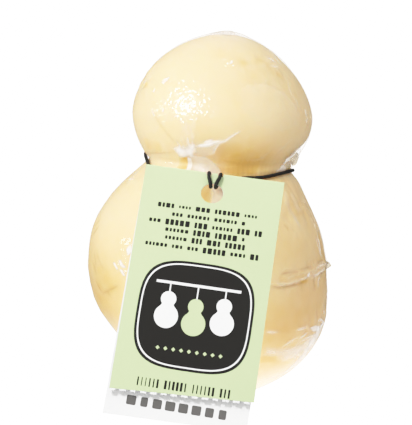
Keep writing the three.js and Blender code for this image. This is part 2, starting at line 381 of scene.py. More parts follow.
def near_line(points, line):
    """Distance of each point to a line, and its place along the line from 0 to 1."""
    lengths = np.linalg.norm(np.diff(line, axis=0), axis=1)
    starts = np.concatenate([[0], np.cumsum(lengths)])
    nearest = np.full(len(points), np.inf)
    along = np.zeros(len(points))
    for i, length in enumerate(lengths):
        span = line[i + 1] - line[i]
        share = np.clip(((points - line[i]) @ span) / (span @ span), 0, 1)
        gap = np.linalg.norm(points - line[i] - share[:, None] * span, axis=1)
        closer = gap < nearest
        nearest[closer] = gap[closer]
        along[closer] = (starts[i] + share[closer] * length) / starts[-1]
    return nearest, along


# The bag's form

def lobe_radius(lobe, level):
    below = np.clip((lobe["widest"] - level) / (lobe["widest"] - lobe["low"]), 0, 1)
    above = np.clip((level - lobe["widest"]) / (lobe["high"] - lobe["widest"]), 0, 1)
    low = (1 - below ** lobe["low_power"]) ** lobe["low_round"]
    high = (1 - above ** lobe["high_power"]) ** lobe["high_round"]
    return lobe["radius"] * np.where(level < lobe["widest"], low, high)


def cord_level(angle):
    """Level of the cord's way at an angle. Across the front, behind the card, it goes straight."""
    first = NECK_ROUTE[0][0]
    stops = [stop for stop, _, _ in NECK_ROUTE] + [first + 2 * math.pi]
    levels = [level for _, level, _ in NECK_ROUTE] + [NECK_ROUTE[0][1]]
    return np.interp((angle - first) % (2 * math.pi) + first, stops, levels)


def left_side(angle, level):
    """How far the left side stands out from the round belly, or in from it where it is negative."""
    turn = math.pi - np.abs(np.arctan2(np.sin(angle), np.cos(angle)))
    swell = LEFT_SIDE["swell"] * bump(level - LEFT_SIDE["swell_level"], LEFT_SIDE["swell_tall"])
    tuck = LEFT_SIDE["tuck"] * (1 - smoothstep(level, LEFT_SIDE["tuck_to"], LEFT_SIDE["tuck_from"]))
    return bump(turn, LEFT_SIDE["spread"]) * (swell - tuck)


def lobes_radius(angle, level):
    """Radius of the two lobes, melted together. Their levels are sheared, so that they lean to the left."""
    belly_shear = smoothstep(HEAD["widest"] - level, 0, HEAD["widest"])
    belly_shear = belly_shear * smoothstep(level, 0, FOOT_TILT_FADE)
    head_shear = smoothstep(HEAD["high"] - level, 0, CROWN_TILT_FADE)
    belly = lobe_radius(BELLY, level + BELLY["tilt"] * BELLY["radius"] * np.cos(angle) * belly_shear)
    head = lobe_radius(HEAD, level + HEAD["tilt"] * HEAD["radius"] * np.cos(angle) * head_shear)
    return (belly**JOIN_POWER + head**JOIN_POWER) ** (1 / JOIN_POWER) + left_side(angle, level)


def web_height(angle, level):
    turn = np.arctan2(np.sin(angle - WEB["angle"]), np.cos(angle - WEB["angle"]))
    return WEB["height"] * bump(turn, WEB["spread"]) * bump(level - WEB["level"], WEB["tall"])


def groove_depth(angle, level):
    return GROOVE["depth"] * bump(level - cord_level(angle), GROOVE["tall"])


def bag_radius(angle, level):
    return lobes_radius(angle, level) + web_height(angle, level) - groove_depth(angle, level)


def axis_x(level):
    share = smoothstep(level, BELLY["widest"], HEAD["widest"])
    return BELLY["axis_x"] + (HEAD["axis_x"] - BELLY["axis_x"]) * share


def round_point(angle, level, radius, off=0.0):
    x = axis_x(level) + (radius + off) * np.cos(angle)
    y = (DEPTH_RATIO * radius + off) * np.sin(angle)
    return np.stack([x, y, level], axis=-1)


def film_groove(angle, level):
    above = level - cord_level(angle)
    tall = np.where(above > 0, FILM_GROOVE_ABOVE, FILM_GROOVE_BELOW)
    return (GROOVE["depth"] - CORD_CLEARANCE) * bump(above, tall)


def film_radius(angle, level):
    """The film reaches the cord in the groove, a little further out than the solid."""
    return lobes_radius(angle, level) + web_height(angle, level) - film_groove(angle, level)


def loose_share(place, angle, level):
    """How loose the film is at a loose place, from 0 where it clings to the cheese to 1 in the middle."""
    turn = np.arctan2(np.sin(angle - place["angle"]), np.cos(angle - place["angle"]))
    return bump(turn, place["spread"]) * bump(level - place["level"], place["tall"])


def cheese_radius(angle, level):
    loose = sum(place["depth"] * loose_share(place, angle, level) for place in LOOSE_PLACES)
    return lobes_radius(angle, level) - film_groove(angle, level) - loose - FILM_GAP


def bag_point(angle, level, off=0.0):
    return round_point(angle, level, bag_radius(angle, level), off)


def bag_place(degrees, level, off=0.0):
    """A point on the bag from an angle in degrees and a level in millimetres."""
    return bag_point(np.float64(math.radians(degrees)), np.float64(level * MM), off)


def spot(points, degrees, level, spread):
    """A soft round spot on the bag, with its level and spread in millimetres, from 0 to 1 in its middle."""
    gap = np.linalg.norm(points - bag_place(degrees, level), axis=1)
    return bump(gap, spread * MM)


def spots(points, places):
    """The sum of soft round spots, each an angle in degrees, a level, a spread and a strength."""
    return sum(strength * spot(points, *place) for *place, strength in places)


def spread_over(points, places):
    """The sum of soft round spots, kept from 0 to 1."""
    return np.clip(spots(points, places), 0, 1)


def film_point(angle, level):
    return round_point(angle, level, film_radius(angle, level))


def film_normals(angle, level):
    """Outward directions of the film's smooth form."""
    turn, rise = 0.002, 0.05 * MM
    along = film_point(angle + turn, level) - film_point(angle - turn, level)
    up = film_point(angle, level + rise) - film_point(angle, level - rise)
    normal = np.cross(along, up)
    return normal / np.maximum(np.linalg.norm(normal, axis=1, keepdims=True), TINY)


def grid_faces(columns, rows, closed=False):
    """Quads between rows of points that go up. A closed row goes all the way round."""
    faces = []
    for row in range(rows - 1):
        for step in range(columns if closed else columns - 1):
            low, next_low = row * columns + step, row * columns + (step + 1) % columns
            faces.append((low, next_low, next_low + columns, low + columns))
    return faces


def fan_faces(start, columns, tip, upward, closed=False):
    """Triangles between a row and the one point that closes it."""
    faces = []
    for step in range(columns if closed else columns - 1):
        here, there = start + step, start + (step + 1) % columns
        faces.append((here, there, tip) if upward else (there, here, tip))
    return faces


def closed_faces(around, rings):
    """Faces of a body of closed rings, where the two points that close it come after the rings."""
    count = around * rings
    faces = grid_faces(around, rings, closed=True)
    faces += fan_faces(0, around, count, upward=False, closed=True)
    faces += fan_faces(count - around, around, count + 1, upward=True, closed=True)
    return faces


# Stage, light and camera

WHITE = (1, 1, 1, 1)
WARM_WHITE = (1.0, 0.88, 0.74)
PLAIN_WHITE = 2.25
# Light from all round: how bright it is below, above, on the left, on the right and in mirror images.
SKY = dict(horizon=-0.1, below=0.45, above=1.25, left=1.3, right=0.75, mirrored=0.2)
# The table: half its width, its grain, its darkest and lightest tone, the light that it gives off, and
# how bright its mirror image is, near the object and far from it.
TABLE_HALF = 3.0
TABLE_GRAIN = dict(scale=40.0, detail=3.0)
TABLE_TONES = (0.38, 0.4)
GLOW = dict(near=42 * MM, far=66 * MM, bright=2.25, dim=0.2)
SHINE = dict(near=40 * MM, far=85 * MM, bright=1.7, dim=0.2)

# Soft round lights that face the head: direction in degrees, radiance, size and distance in metres. One
# with gleams=False lights matt surfaces only, and one with lights=False shows only in what is glossy.
LIGHT_AIM = Vector((0, 0, 80)) * MM
LIGHT_DISTANCE = 0.6
LIGHTS = {
    "key": dict(azimuth=-132, elevation=23, radiance=20, size=0.276),
    "card_key": dict(azimuth=-125, elevation=50, radiance=159, size=0.1, gleams=False),
    "fill": dict(azimuth=-40, elevation=50, radiance=2.9, size=0.4, distance=0.7, gleams=False),
    "left_gleam": dict(azimuth=-168, elevation=8, radiance=8, size=0.11, lights=False),
    "right_gleam": dict(azimuth=55, elevation=0, radiance=2.6, size=0.045, lights=False),
    "top_gleam": dict(azimuth=-29, elevation=80, radiance=16, size=0.036, lights=False),
    "film_fill": dict(azimuth=-35, elevation=2, radiance=5.2, size=0.3, gleams=False, color=WARM_WHITE),
    "neck_fill": dict(azimuth=-100, elevation=-50, radiance=1.2, size=0.3, gleams=False),
}
# How bright parts of the picture are toned: light on the object, and what the picture shows of it.
TONES = [(0.0, 0.0), (0.5, 0.5), (0.8, 0.71), (1.18, 0.863), (1.6, 0.962), (2.2, 1.0)]


def tone_picture():
    """Bright parts roll off softly to white, as on film."""
    view = bpy.context.scene.view_settings
    view.view_transform = "Standard"
    view.use_curve_mapping = True
    mapping = view.curve_mapping
    mapping.use_clip = False
    for curve in list(mapping.curves)[:3]:
        while len(curve.points) < len(TONES):
            curve.points.new(1.0, 1.0)
        for point, place in zip(curve.points, TONES):
            point.location = place
    mapping.update()


def white_world():
    """Soft white light all round. The camera sees plain white behind the object."""
    world = bpy.data.worlds.new("white_studio")
    bpy.context.scene.world = world
    world.use_nodes = True
    tree = world.node_tree
    tree.nodes.clear()
    path = put(tree, "ShaderNodeLightPath").outputs
    direction = put(tree, "ShaderNodeTexCoord").outputs["Generated"]
    parts = put(tree, "ShaderNodeSeparateXYZ", {0: direction}).outputs
    height = ramp(tree, parts["Z"], SKY["horizon"], 1, SKY["below"], SKY["above"])
    side = ramp(tree, parts["X"], -1, 1, SKY["left"], SKY["right"])
    light, mirrored, seen = (
        put(tree, "ShaderNodeBackground", {"Color": WHITE, "Strength": strength})
        for strength in (calculate(tree, "MULTIPLY", height, side), SKY["mirrored"], PLAIN_WHITE)
    )
    soft = blend(tree, path["Is Glossy Ray"], light, mirrored)
    both = blend(tree, path["Is Camera Ray"], soft, seen)
    put(tree, "ShaderNodeOutputWorld", {"Surface": both.outputs[0]})


def floor_material():
    """A white table that is lit from below where the object stands."""
    material, tree = new_material("lit_white_table")
    place = object_place(tree)
    away = put(tree, "ShaderNodeVectorMath", {0: place}, operation="LENGTH").outputs["Value"]

    def fading(light):
        ends = (light["near"], light["far"], light["bright"], light["dim"])
        return ramp(tree, away, *ends, interpolation_type="SMOOTHSTEP")

    matt = put(tree, "ShaderNodeBsdfPrincipled", {
        "Base Color": ramp(tree, grain(tree, place, **TABLE_GRAIN), 0, 1, *TABLE_TONES),
        "Roughness": 0.9, "Specular IOR Level": 0.1,
        "Emission Color": WHITE, "Emission Strength": fading(GLOW),
    })
    mirrored = put(tree, "ShaderNodeEmission", {"Strength": fading(SHINE)})
    seen = put(tree, "ShaderNodeEmission", {"Strength": PLAIN_WHITE})
    path = put(tree, "ShaderNodeLightPath").outputs
    soft = blend(tree, path["Is Glossy Ray"], matt, mirrored)
    surface(tree, blend(tree, path["Is Camera Ray"], soft, seen))
    return material


def make_floor():
    half = TABLE_HALF
    corners = [(-half, -half, 0), (half, -half, 0), (half, half, 0), (-half, half, 0)]
    floor = add_object("floor", mesh_from("floor", corners, [(0, 1, 2, 3)], floor_material(), smooth=False))
    return floor


def soft_light(
    name, azimuth, elevation, radiance, size,
    distance=LIGHT_DISTANCE, lights=True, gleams=True, color=WHITE[:3],
):
    turn, rise = math.radians(azimuth), math.radians(elevation)
    away = Vector((math.cos(rise) * math.cos(turn), math.cos(rise) * math.sin(turn), math.sin(rise)))
    data = bpy.data.lights.new(name, "AREA")
    data.shape = "DISK"
    data.size = size
    data.color = color
    data.energy = radiance * math.pi * math.pi * (size / 2) ** 2
    lamp = add_object(name, data)
    lamp.location = LIGHT_AIM + away * distance
    lamp.rotation_euler = away.to_track_quat("Z", "Y").to_euler()
    lamp.visible_camera = False
    lamp.visible_diffuse = lights
    lamp.visible_glossy = gleams
    return lamp


def piece_group(name, pieces):
    group = bpy.data.collections.new(name)
    for piece in pieces:
        group.objects.link(piece)
    return group


def light_only(lamp, lit, shading=None):
    """The lamp lights only some pieces, and where shading is given, only those pieces stop its light."""
    lamp.light_linking.receiver_collection = piece_group("lit_by_" + lamp.name, lit)
    if shading:
        lamp.light_linking.blocker_collection = piece_group("shades_from_" + lamp.name, shading)


def make_camera():
    data = bpy.data.cameras.new("camera")
    data.sensor_fit = "VERTICAL"
    data.sensor_height = SENSOR_HEIGHT
    data.lens = SENSOR_HEIGHT * CAMERA_DISTANCE / FRAME_HEIGHT
    data.clip_start = NEAREST_SEEN
    camera = add_object("camera", data)
    away = Vector((0, -math.cos(CAMERA_ELEVATION), math.sin(CAMERA_ELEVATION)))
    camera.location = LOOK_AT + away * CAMERA_DISTANCE
    camera.rotation_euler = away.to_track_quat("Z", "Y").to_euler()
    bpy.context.scene.camera = camera


# Cheese

CREAM = (0.95, 0.675, 0.35, 1)
# The cheese's deeper yellow, which under the head and below the seam also stands for painted shade.
HONEY_AND_SHADE = (0.80, 0.487, 0.125, 1)
# The fibre of pulled curd: how it is stretched, its grain, its share in the colour and its relief. Then
# the clouds in the colour: their grain, and what range of it becomes what range of yellow.
PULLED = (260, 260, 50)
FIBRE_GRAIN = dict(scale=1.0, detail=3.0)
FIBRE_SHARE = 0.12
FIBRE_RELIEF = dict(strength=0.25, distance=0.15 * MM)
CLOUD_GRAIN = dict(scale=70.0, detail=4.0, roughness=0.55)
CLOUD_RANGE = dict(from_low=0.35, from_high=0.75, to_low=-0.06, to_high=0.16)
# How light goes through the cheese: how much of it, how far in red, green and blue, and the scale of that.
THROUGH = dict(share=0.6, reach=(1.0, 0.75, 0.4), scale=2.0 * MM)

# Deeper yellow places, where the cheese's own yellow deepens and, under the head, below the seam and along
# the left of the belly, where shade is painted in: angle in degrees, level and spread in millimetres,
# strength. Then how uneven.
HONEY_AND_SHADE_PLACES = [
    # Under the head, painted shade; and above the fold at the left of the neck, deeper yellow
    (-79, 75.4, 5, 0.9), (-63, 75.4, 5, 0.5), (-49, 75.2, 5, 0.25), (-33, 74.6, 5, 0.2),
    (-87, 78.4, 2.5, 0.3), (-80, 82, 5, 0.15), (-69, 80.5, 6, 0.28), (-58, 80.3, 6, 0.28),
    (-150, 80.8, 3.2, 1.0), (-138, 80.5, 2.8, 0.75), (-127, 80.3, 3.2, -0.45), (-103, 85, 3.5, 0.2),
    (-140, 77, 6, -0.3), (-150, 85, 9, -0.12), (140, 78, 9, 0.4), (80, 77, 9, 0.4),
    # Paler over the head
    (-120, 92, 22, -0.18), (-70, 96, 16, -0.12), (-155, 92, 16, -0.18), (-45, 88, 10, -0.1),
    # Spots on the head
    (-155.5, 99.9, 1.5, 1.0), (-72.9, 106.6, 1.6, 0.75), (-36, 104, 4, 0.12), (-93, 109.8, 3, 0.2),
    (-60, 106.8, 1.6, 0.3), (-53, 107.4, 1.7, 0.4), (-47, 105.6, 1.7, 0.3), (-42, 103, 2, 0.3),
    # Belly, with painted shade along its left edge and below the seam
    (-160, 37, 13, 0.48), (-146, 28, 12, 0.32), (-138, 39.5, 5, 0.38), (-148, 43, 5, 0.25),
    (-176, 50, 8, 0.25), (-60, 23, 9, 0.65), (-42, 39.7, 2, 0.5), (-35, 60, 12, 0.2),
    (-37.5, 62.5, 3.5, 0.25), (-50, 50, 6, 0.28), (-8, 44, 14, 0.4), (-36, 30, 11, 0.42),
    (-50, 14, 10, 0.35),
]
HONEY_AND_SHADE_MOTTLE = dict(mean=0.9, swing=0.3, wave=2.4 * MM, seed=51)

# Painted warm light from the table, low on the belly: what the cheese's colour is multiplied with there,
# and where that is: angle in degrees, level and spread in millimetres, and strength.
WARM_LIGHT_TINT = (1.0, 0.89, 0.78, 1)
WARM_LIGHT_PLACES = [(-56, 24, 12, 0.65), (-30, 31, 12, 0.5), (-55, 10, 10, 0.6), (-143, 29, 9, 0.4)]

# Patches of the film, each an outline of angles in degrees and levels in millimetres, with the width of
# its soft edge in millimetres, how much it whitens the film, in places as a painted glint, and how much
# deeper the cheese's yellow is under it, in places as painted shade. The reach is how many soft edges past
# its corners a patch is looked for.
PATCH_REACH = 3
PATCHES = [
    # Milky tongue of loose film in front of the neck
    ([(-111.7, 78.6), (-107.5, 78.7), (-100.9, 78.5), (-96.7, 77.5), (-93.3, 75.9), (-89.8, 74.3),
      (-87.9, 72.0), (-95.5, 71.0), (-104.7, 71.5), (-111.5, 72.5), (-112.0, 76.2)], 0.7, 0.38, 0),
    # Panel of film between the tongue and the ridges, and the deep yellow to the right of it, partly
    # painted shade under the head
    ([(-107, 81.7), (-108, 79), (-100.5, 78.6), (-95.6, 79.2), (-94.2, 80.8), (-92, 82.8),
      (-100, 82.4)], 0.5, 0.2, -0.35),
    ([(-95, 79.2), (-93, 81.4), (-90.5, 82.6), (-84, 83), (-76, 81.6), (-66, 79.6), (-60, 77), (-62, 73),
      (-80, 72.5), (-90, 74.3)], 0.9, -0.03, 0.2),
    # Gathered white pucker, and a gap below it that shows the cheese, beside a white edge
    ([(-123.2, 80.6), (-119.4, 81.2), (-115.1, 80.6), (-112.0, 81.3), (-109.4, 82.3), (-108.1, 81.7),
      (-108.7, 80.1), (-110.9, 78.8), (-115.4, 78.2), (-120.3, 78.1), (-121.7, 79.2)], 2.0, 0.95, 0),
    ([(-119.0, 77.8), (-114.7, 78.1), (-115.6, 72.0), (-121.6, 72.0)], 0.4, -0.7, 0),
    ([(-123, 78.6), (-112, 79), (-112, 71), (-124, 71)], 0.8, 0, 0.85),
    ([(-114.4, 77.9), (-111.7, 77.7), (-111.4, 76.2), (-111.6, 72.0), (-115.4, 72.0)], 0.35, 0.85, 0),
    # Painted glints on the head: white film where highlights fall
    ([(-136.6, 100.6), (-136.3, 101.3), (-133.8, 102.0), (-131.2, 102.2), (-131.2, 101.5), (-133.4, 100.6),
      (-134.1, 100.0)], 0.4, 0.85, 0),
    ([(-142.2, 97.9), (-141.2, 98.6), (-140.4, 98.0), (-141.4, 97.5)], 0.4, 0.8, 0),
    ([(-130.2, 92.3), (-129.4, 93.0), (-128.6, 92.4), (-129.4, 91.8)], 0.4, 0.8, 0),
    ([(-84.8, 106.3), (-83.5, 107.1), (-81.8, 107), (-82.9, 106.3)], 0.4, 0.8, 0),
    # Loose film at the right of the neck
    ([(-35.6, 75.4), (-28.7, 76.1), (-32.0, 77.9), (-34.8, 76.9)], 0.4, 0.85, 0),
    ([(-43.3, 73.1), (-33.3, 75.3), (-28.1, 73.6), (-30.1, 72.6)], 0.5, 0.5, 0),
    # Painted glints on the left of the belly
    ([(-130.9, 50.5), (-128.9, 52.3), (-127.4, 50.3), (-129.0, 48.8)], 0.5, 0.85, 0),
    ([(-138.3, 45.9), (-137.2, 46.0), (-134.3, 44.3), (-135.2, 44.0)], 0.4, 0.8, 0),
    ([(-134.8, 46.9), (-133.6, 47.0), (-129.6, 45.0), (-131.8, 44.9), (-133.0, 45.4)], 0.4, 0.85, 0),
    ([(-133.2, 44.2), (-131.8, 44.3), (-129.4, 42.4), (-131.4, 42.6)], 0.4, 0.75, 0),
    # Pale streaks on the right shoulder, painted light on its folds, beside deeper yellow of painted shade
    ([(-41.5, 67), (-39.6, 67), (-41.6, 63.8), (-39.3, 60), (-37.6, 56.6), (-40.5, 56.6), (-43.4, 60.4),
      (-45.6, 63.8)], 1.1, 0.04, -0.2),
    ([(-36.6, 66.4), (-34.4, 66), (-33.4, 61), (-34.6, 60.6)], 0.9, 0.06, -0.15),
    ([(-39.2, 66.6), (-37, 66.6), (-35.4, 61), (-34.4, 58), (-36.6, 57.6), (-38.4, 60.4),
      (-40.4, 63.8)], 0.9, 0, 0.25),
    # Golden band, a painted glint, and below the ridge a yellow place of painted shade, along the seam
    ([(-57, 42.9), (-45, 43.3), (-34, 43.4), (-34, 41.6), (-45, 41), (-57, 40.7)], 0.8, -0.02, 0.35),
    ([(-39.4, 41.5), (-38.4, 42.4), (-37.2, 41.7), (-38.3, 41.1)], 0.4, 0.85, 0),
    ([(-44.1, 40.1), (-40.4, 40.4), (-37.0, 40.0), (-37.7, 39.1), (-41.7, 39.5)], 0.5, -0.2, 0.7),
    # Frosted film low on the right, with one clear place
    ([(-35.2, 24.5), (-29.9, 24.5), (-24.5, 23.7), (-24.1, 22.2), (-31.2, 22.9)], 0.6, 0.75, 0),
    ([(-17, 25), (-29, 21.7), (-37, 20), (-45.6, 19), (-53.7, 19.4), (-61, 20.3), (-61, 18.4),
      (-53.7, 17.2), (-45.6, 14.6), (-37, 14.8), (-29, 16.5), (-19, 22)], 2.4, 0.36, 0),
    ([(-63.5, 17.6), (-54.5, 16.9), (-52, 15.0), (-62, 15.4)], 1.0, -0.35, 0.65),
    ([(-17, 24), (-20, 19), (-22, 14.5), (-26, 10), (-36, 9), (-34, 14), (-30, 18.5),
      (-26, 22.5)], 2.2, 0.45, 0),
    # Behind the hole of the card: bare cheese on the left, loose film on the right
    ([(-103, 70.6), (-95, 70.6), (-93, 63.5), (-103, 63.5)], 2.2, -0.3, 0.5),
    ([(-95, 70.5), (-86, 69.5), (-86, 63), (-94, 63.5)], 2.2, 0.4, 0.1),
    # Faint round flat on the right of the head, lighter as a painted reflection, with deeper yellow round
    # it
    ([(-78.6, 99.1), (-66, 100.1), (-57, 99.3), (-49.7, 97.7), (-43.9, 95.9), (-38.8, 93.4), (-36.1, 90.6),
      (-37.9, 87.6), (-52, 86), (-70, 88), (-79, 93)], 0.8, 0.05, -0.08),
    ([(-80, 100.4), (-66, 101.4), (-56, 100.6), (-48, 98.8), (-42, 96.6), (-37, 94), (-34.5, 91), (-35, 87),
      (-27, 87), (-27.5, 92), (-32, 98), (-40, 103), (-52, 105), (-66, 105), (-79, 102.6)], 1.6, 0, 0.15),
]


def patch_share(points, outline, soft):
    """How far each point lies inside an outline on the bag, from 0 outside to 1 inside."""
    corners = np.array([bag_place(*place) for place in outline])
    middle = corners.mean(axis=0)
    out = middle - [axis_x(middle[2]), 0, middle[2]]
    out = out / np.linalg.norm(out)
    side = np.cross([0, 0, 1], out)
    flat = np.stack([(corners - middle) @ side, corners[:, 2] - middle[2]], axis=1)
    share = np.zeros(len(points))
    reach = np.linalg.norm(corners - middle, axis=1).max() + PATCH_REACH * soft
    near = np.linalg.norm(points - middle, axis=1) < reach
    from_middle = points[near] - middle
    flat_points = np.stack([from_middle @ side, from_middle[:, 2]], axis=1)
    gap = np.full(len(flat_points), np.inf)
    inside = np.zeros(len(flat_points), bool)
    for start, end in zip(flat, np.roll(flat, -1, axis=0)):
        span = end - start
        along = np.clip(((flat_points - start) @ span) / (span @ span), 0, 1)
        gap = np.minimum(gap, np.linalg.norm(flat_points - start - along[:, None] * span, axis=1))
        between = (start[1] > flat_points[:, 1]) != (end[1] > flat_points[:, 1])
        rise = span[1] if abs(span[1]) > TINY else TINY
        crossing = start[0] + span[0] * (flat_points[:, 1] - start[1]) / rise
        inside ^= between & (flat_points[:, 0] < crossing)
    share[near] = smoothstep(np.where(inside, gap, -gap), -soft / 2, soft / 2)
    return share


def cheese_material():
    material, tree = new_material("scamorza")
    place = object_place(tree)
    pulled = put(tree, "ShaderNodeMapping", {"Vector": place, "Scale": PULLED})
    fibre = grain(tree, pulled.outputs[0], **FIBRE_GRAIN)
    cloud = ramp(tree, grain(tree, place, **CLOUD_GRAIN), **CLOUD_RANGE)
    uneven = calculate(tree, "ADD", cloud, calculate(tree, "MULTIPLY", fibre, FIBRE_SHARE))
    # The deeper yellow, under the head and below the seam, is partly painted shade.
    depth = calculate(tree, "ADD", painted_value(tree, "honey"), uneven, use_clamp=True)
    color = mixed_color(tree, depth, CREAM, HONEY_AND_SHADE)
    # A warmer tint low on the belly: painted warm light from the table below.
    warmed = mixed_color(tree, painted_value(tree, "blush"), color, WARM_LIGHT_TINT, blend_type="MULTIPLY")
    shader = put(tree, "ShaderNodeBsdfPrincipled", {
        "Base Color": warmed, "Roughness": 0.5, "Specular IOR Level": 0.7,
        "Subsurface Weight": THROUGH["share"], "Subsurface Radius": THROUGH["reach"],
        "Subsurface Scale": THROUGH["scale"], "Normal": embossed(tree, fibre, **FIBRE_RELIEF),
    })
    surface(tree, shader)
    return material


def honey_and_shade_amount(points):
    amount = spots(points, HONEY_AND_SHADE_PLACES)
    for outline, soft, _, deeper in PATCHES:
        if deeper:
            amount += deeper * patch_share(points, outline, soft * MM)
    return amount * mottle(points, **HONEY_AND_SHADE_MOTTLE)


def make_cheese():
    """The cheese's skin follows the film's folds, except under the loose film at the neck."""
    crown = HEAD["high"] - FILM_GAP
    angles = np.arange(CHEESE_AROUND) * 2 * math.pi / CHEESE_AROUND
    shares = np.linspace(0, 1, CHEESE_RINGS)
    crowded = smoothstep(shares, 0, 1) * CHEESE_CROWDING + shares * (1 - CHEESE_CROWDING)
    levels = CHEESE_FOOT + (crown - CHEESE_FOOT) * crowded
    angle, level = (grid.ravel() for grid in np.meshgrid(angles, levels))
    inner = np.maximum(cheese_radius(angle, level), CHEESE_NARROWEST)
    outside = film_point(angle, level)
    folds, _, _ = film_folds(angle, level, outside)
    pressed = np.minimum(folds, 0) + CLING * np.maximum(folds, 0)
    clings = 1 - sum(loose_share(place, angle, level) for place in LOOSE_PLACES)
    moved = (clings * pressed - np.abs(waves(outside, CHEESE_LUMPS)))[:, None]
    points = round_point(angle, level, inner) + film_normals(angle, level) * moved
    points[:, 2] = np.maximum(points[:, 2], CHEESE_LOWEST)
    tips = [(BELLY["axis_x"], 0, CHEESE_FOOT), (HEAD["axis_x"], 0, crown)]
    faces = closed_faces(CHEESE_AROUND, CHEESE_RINGS)
    mesh = mesh_from("cheese", np.concatenate([points, tips]), faces, cheese_material())
    skin = np.concatenate([outside, tips])
    paint(mesh, "honey", honey_and_shade_amount(skin))
    paint(mesh, "blush", spread_over(skin, WARM_LIGHT_PLACES))
    return add_object("cheese", mesh)
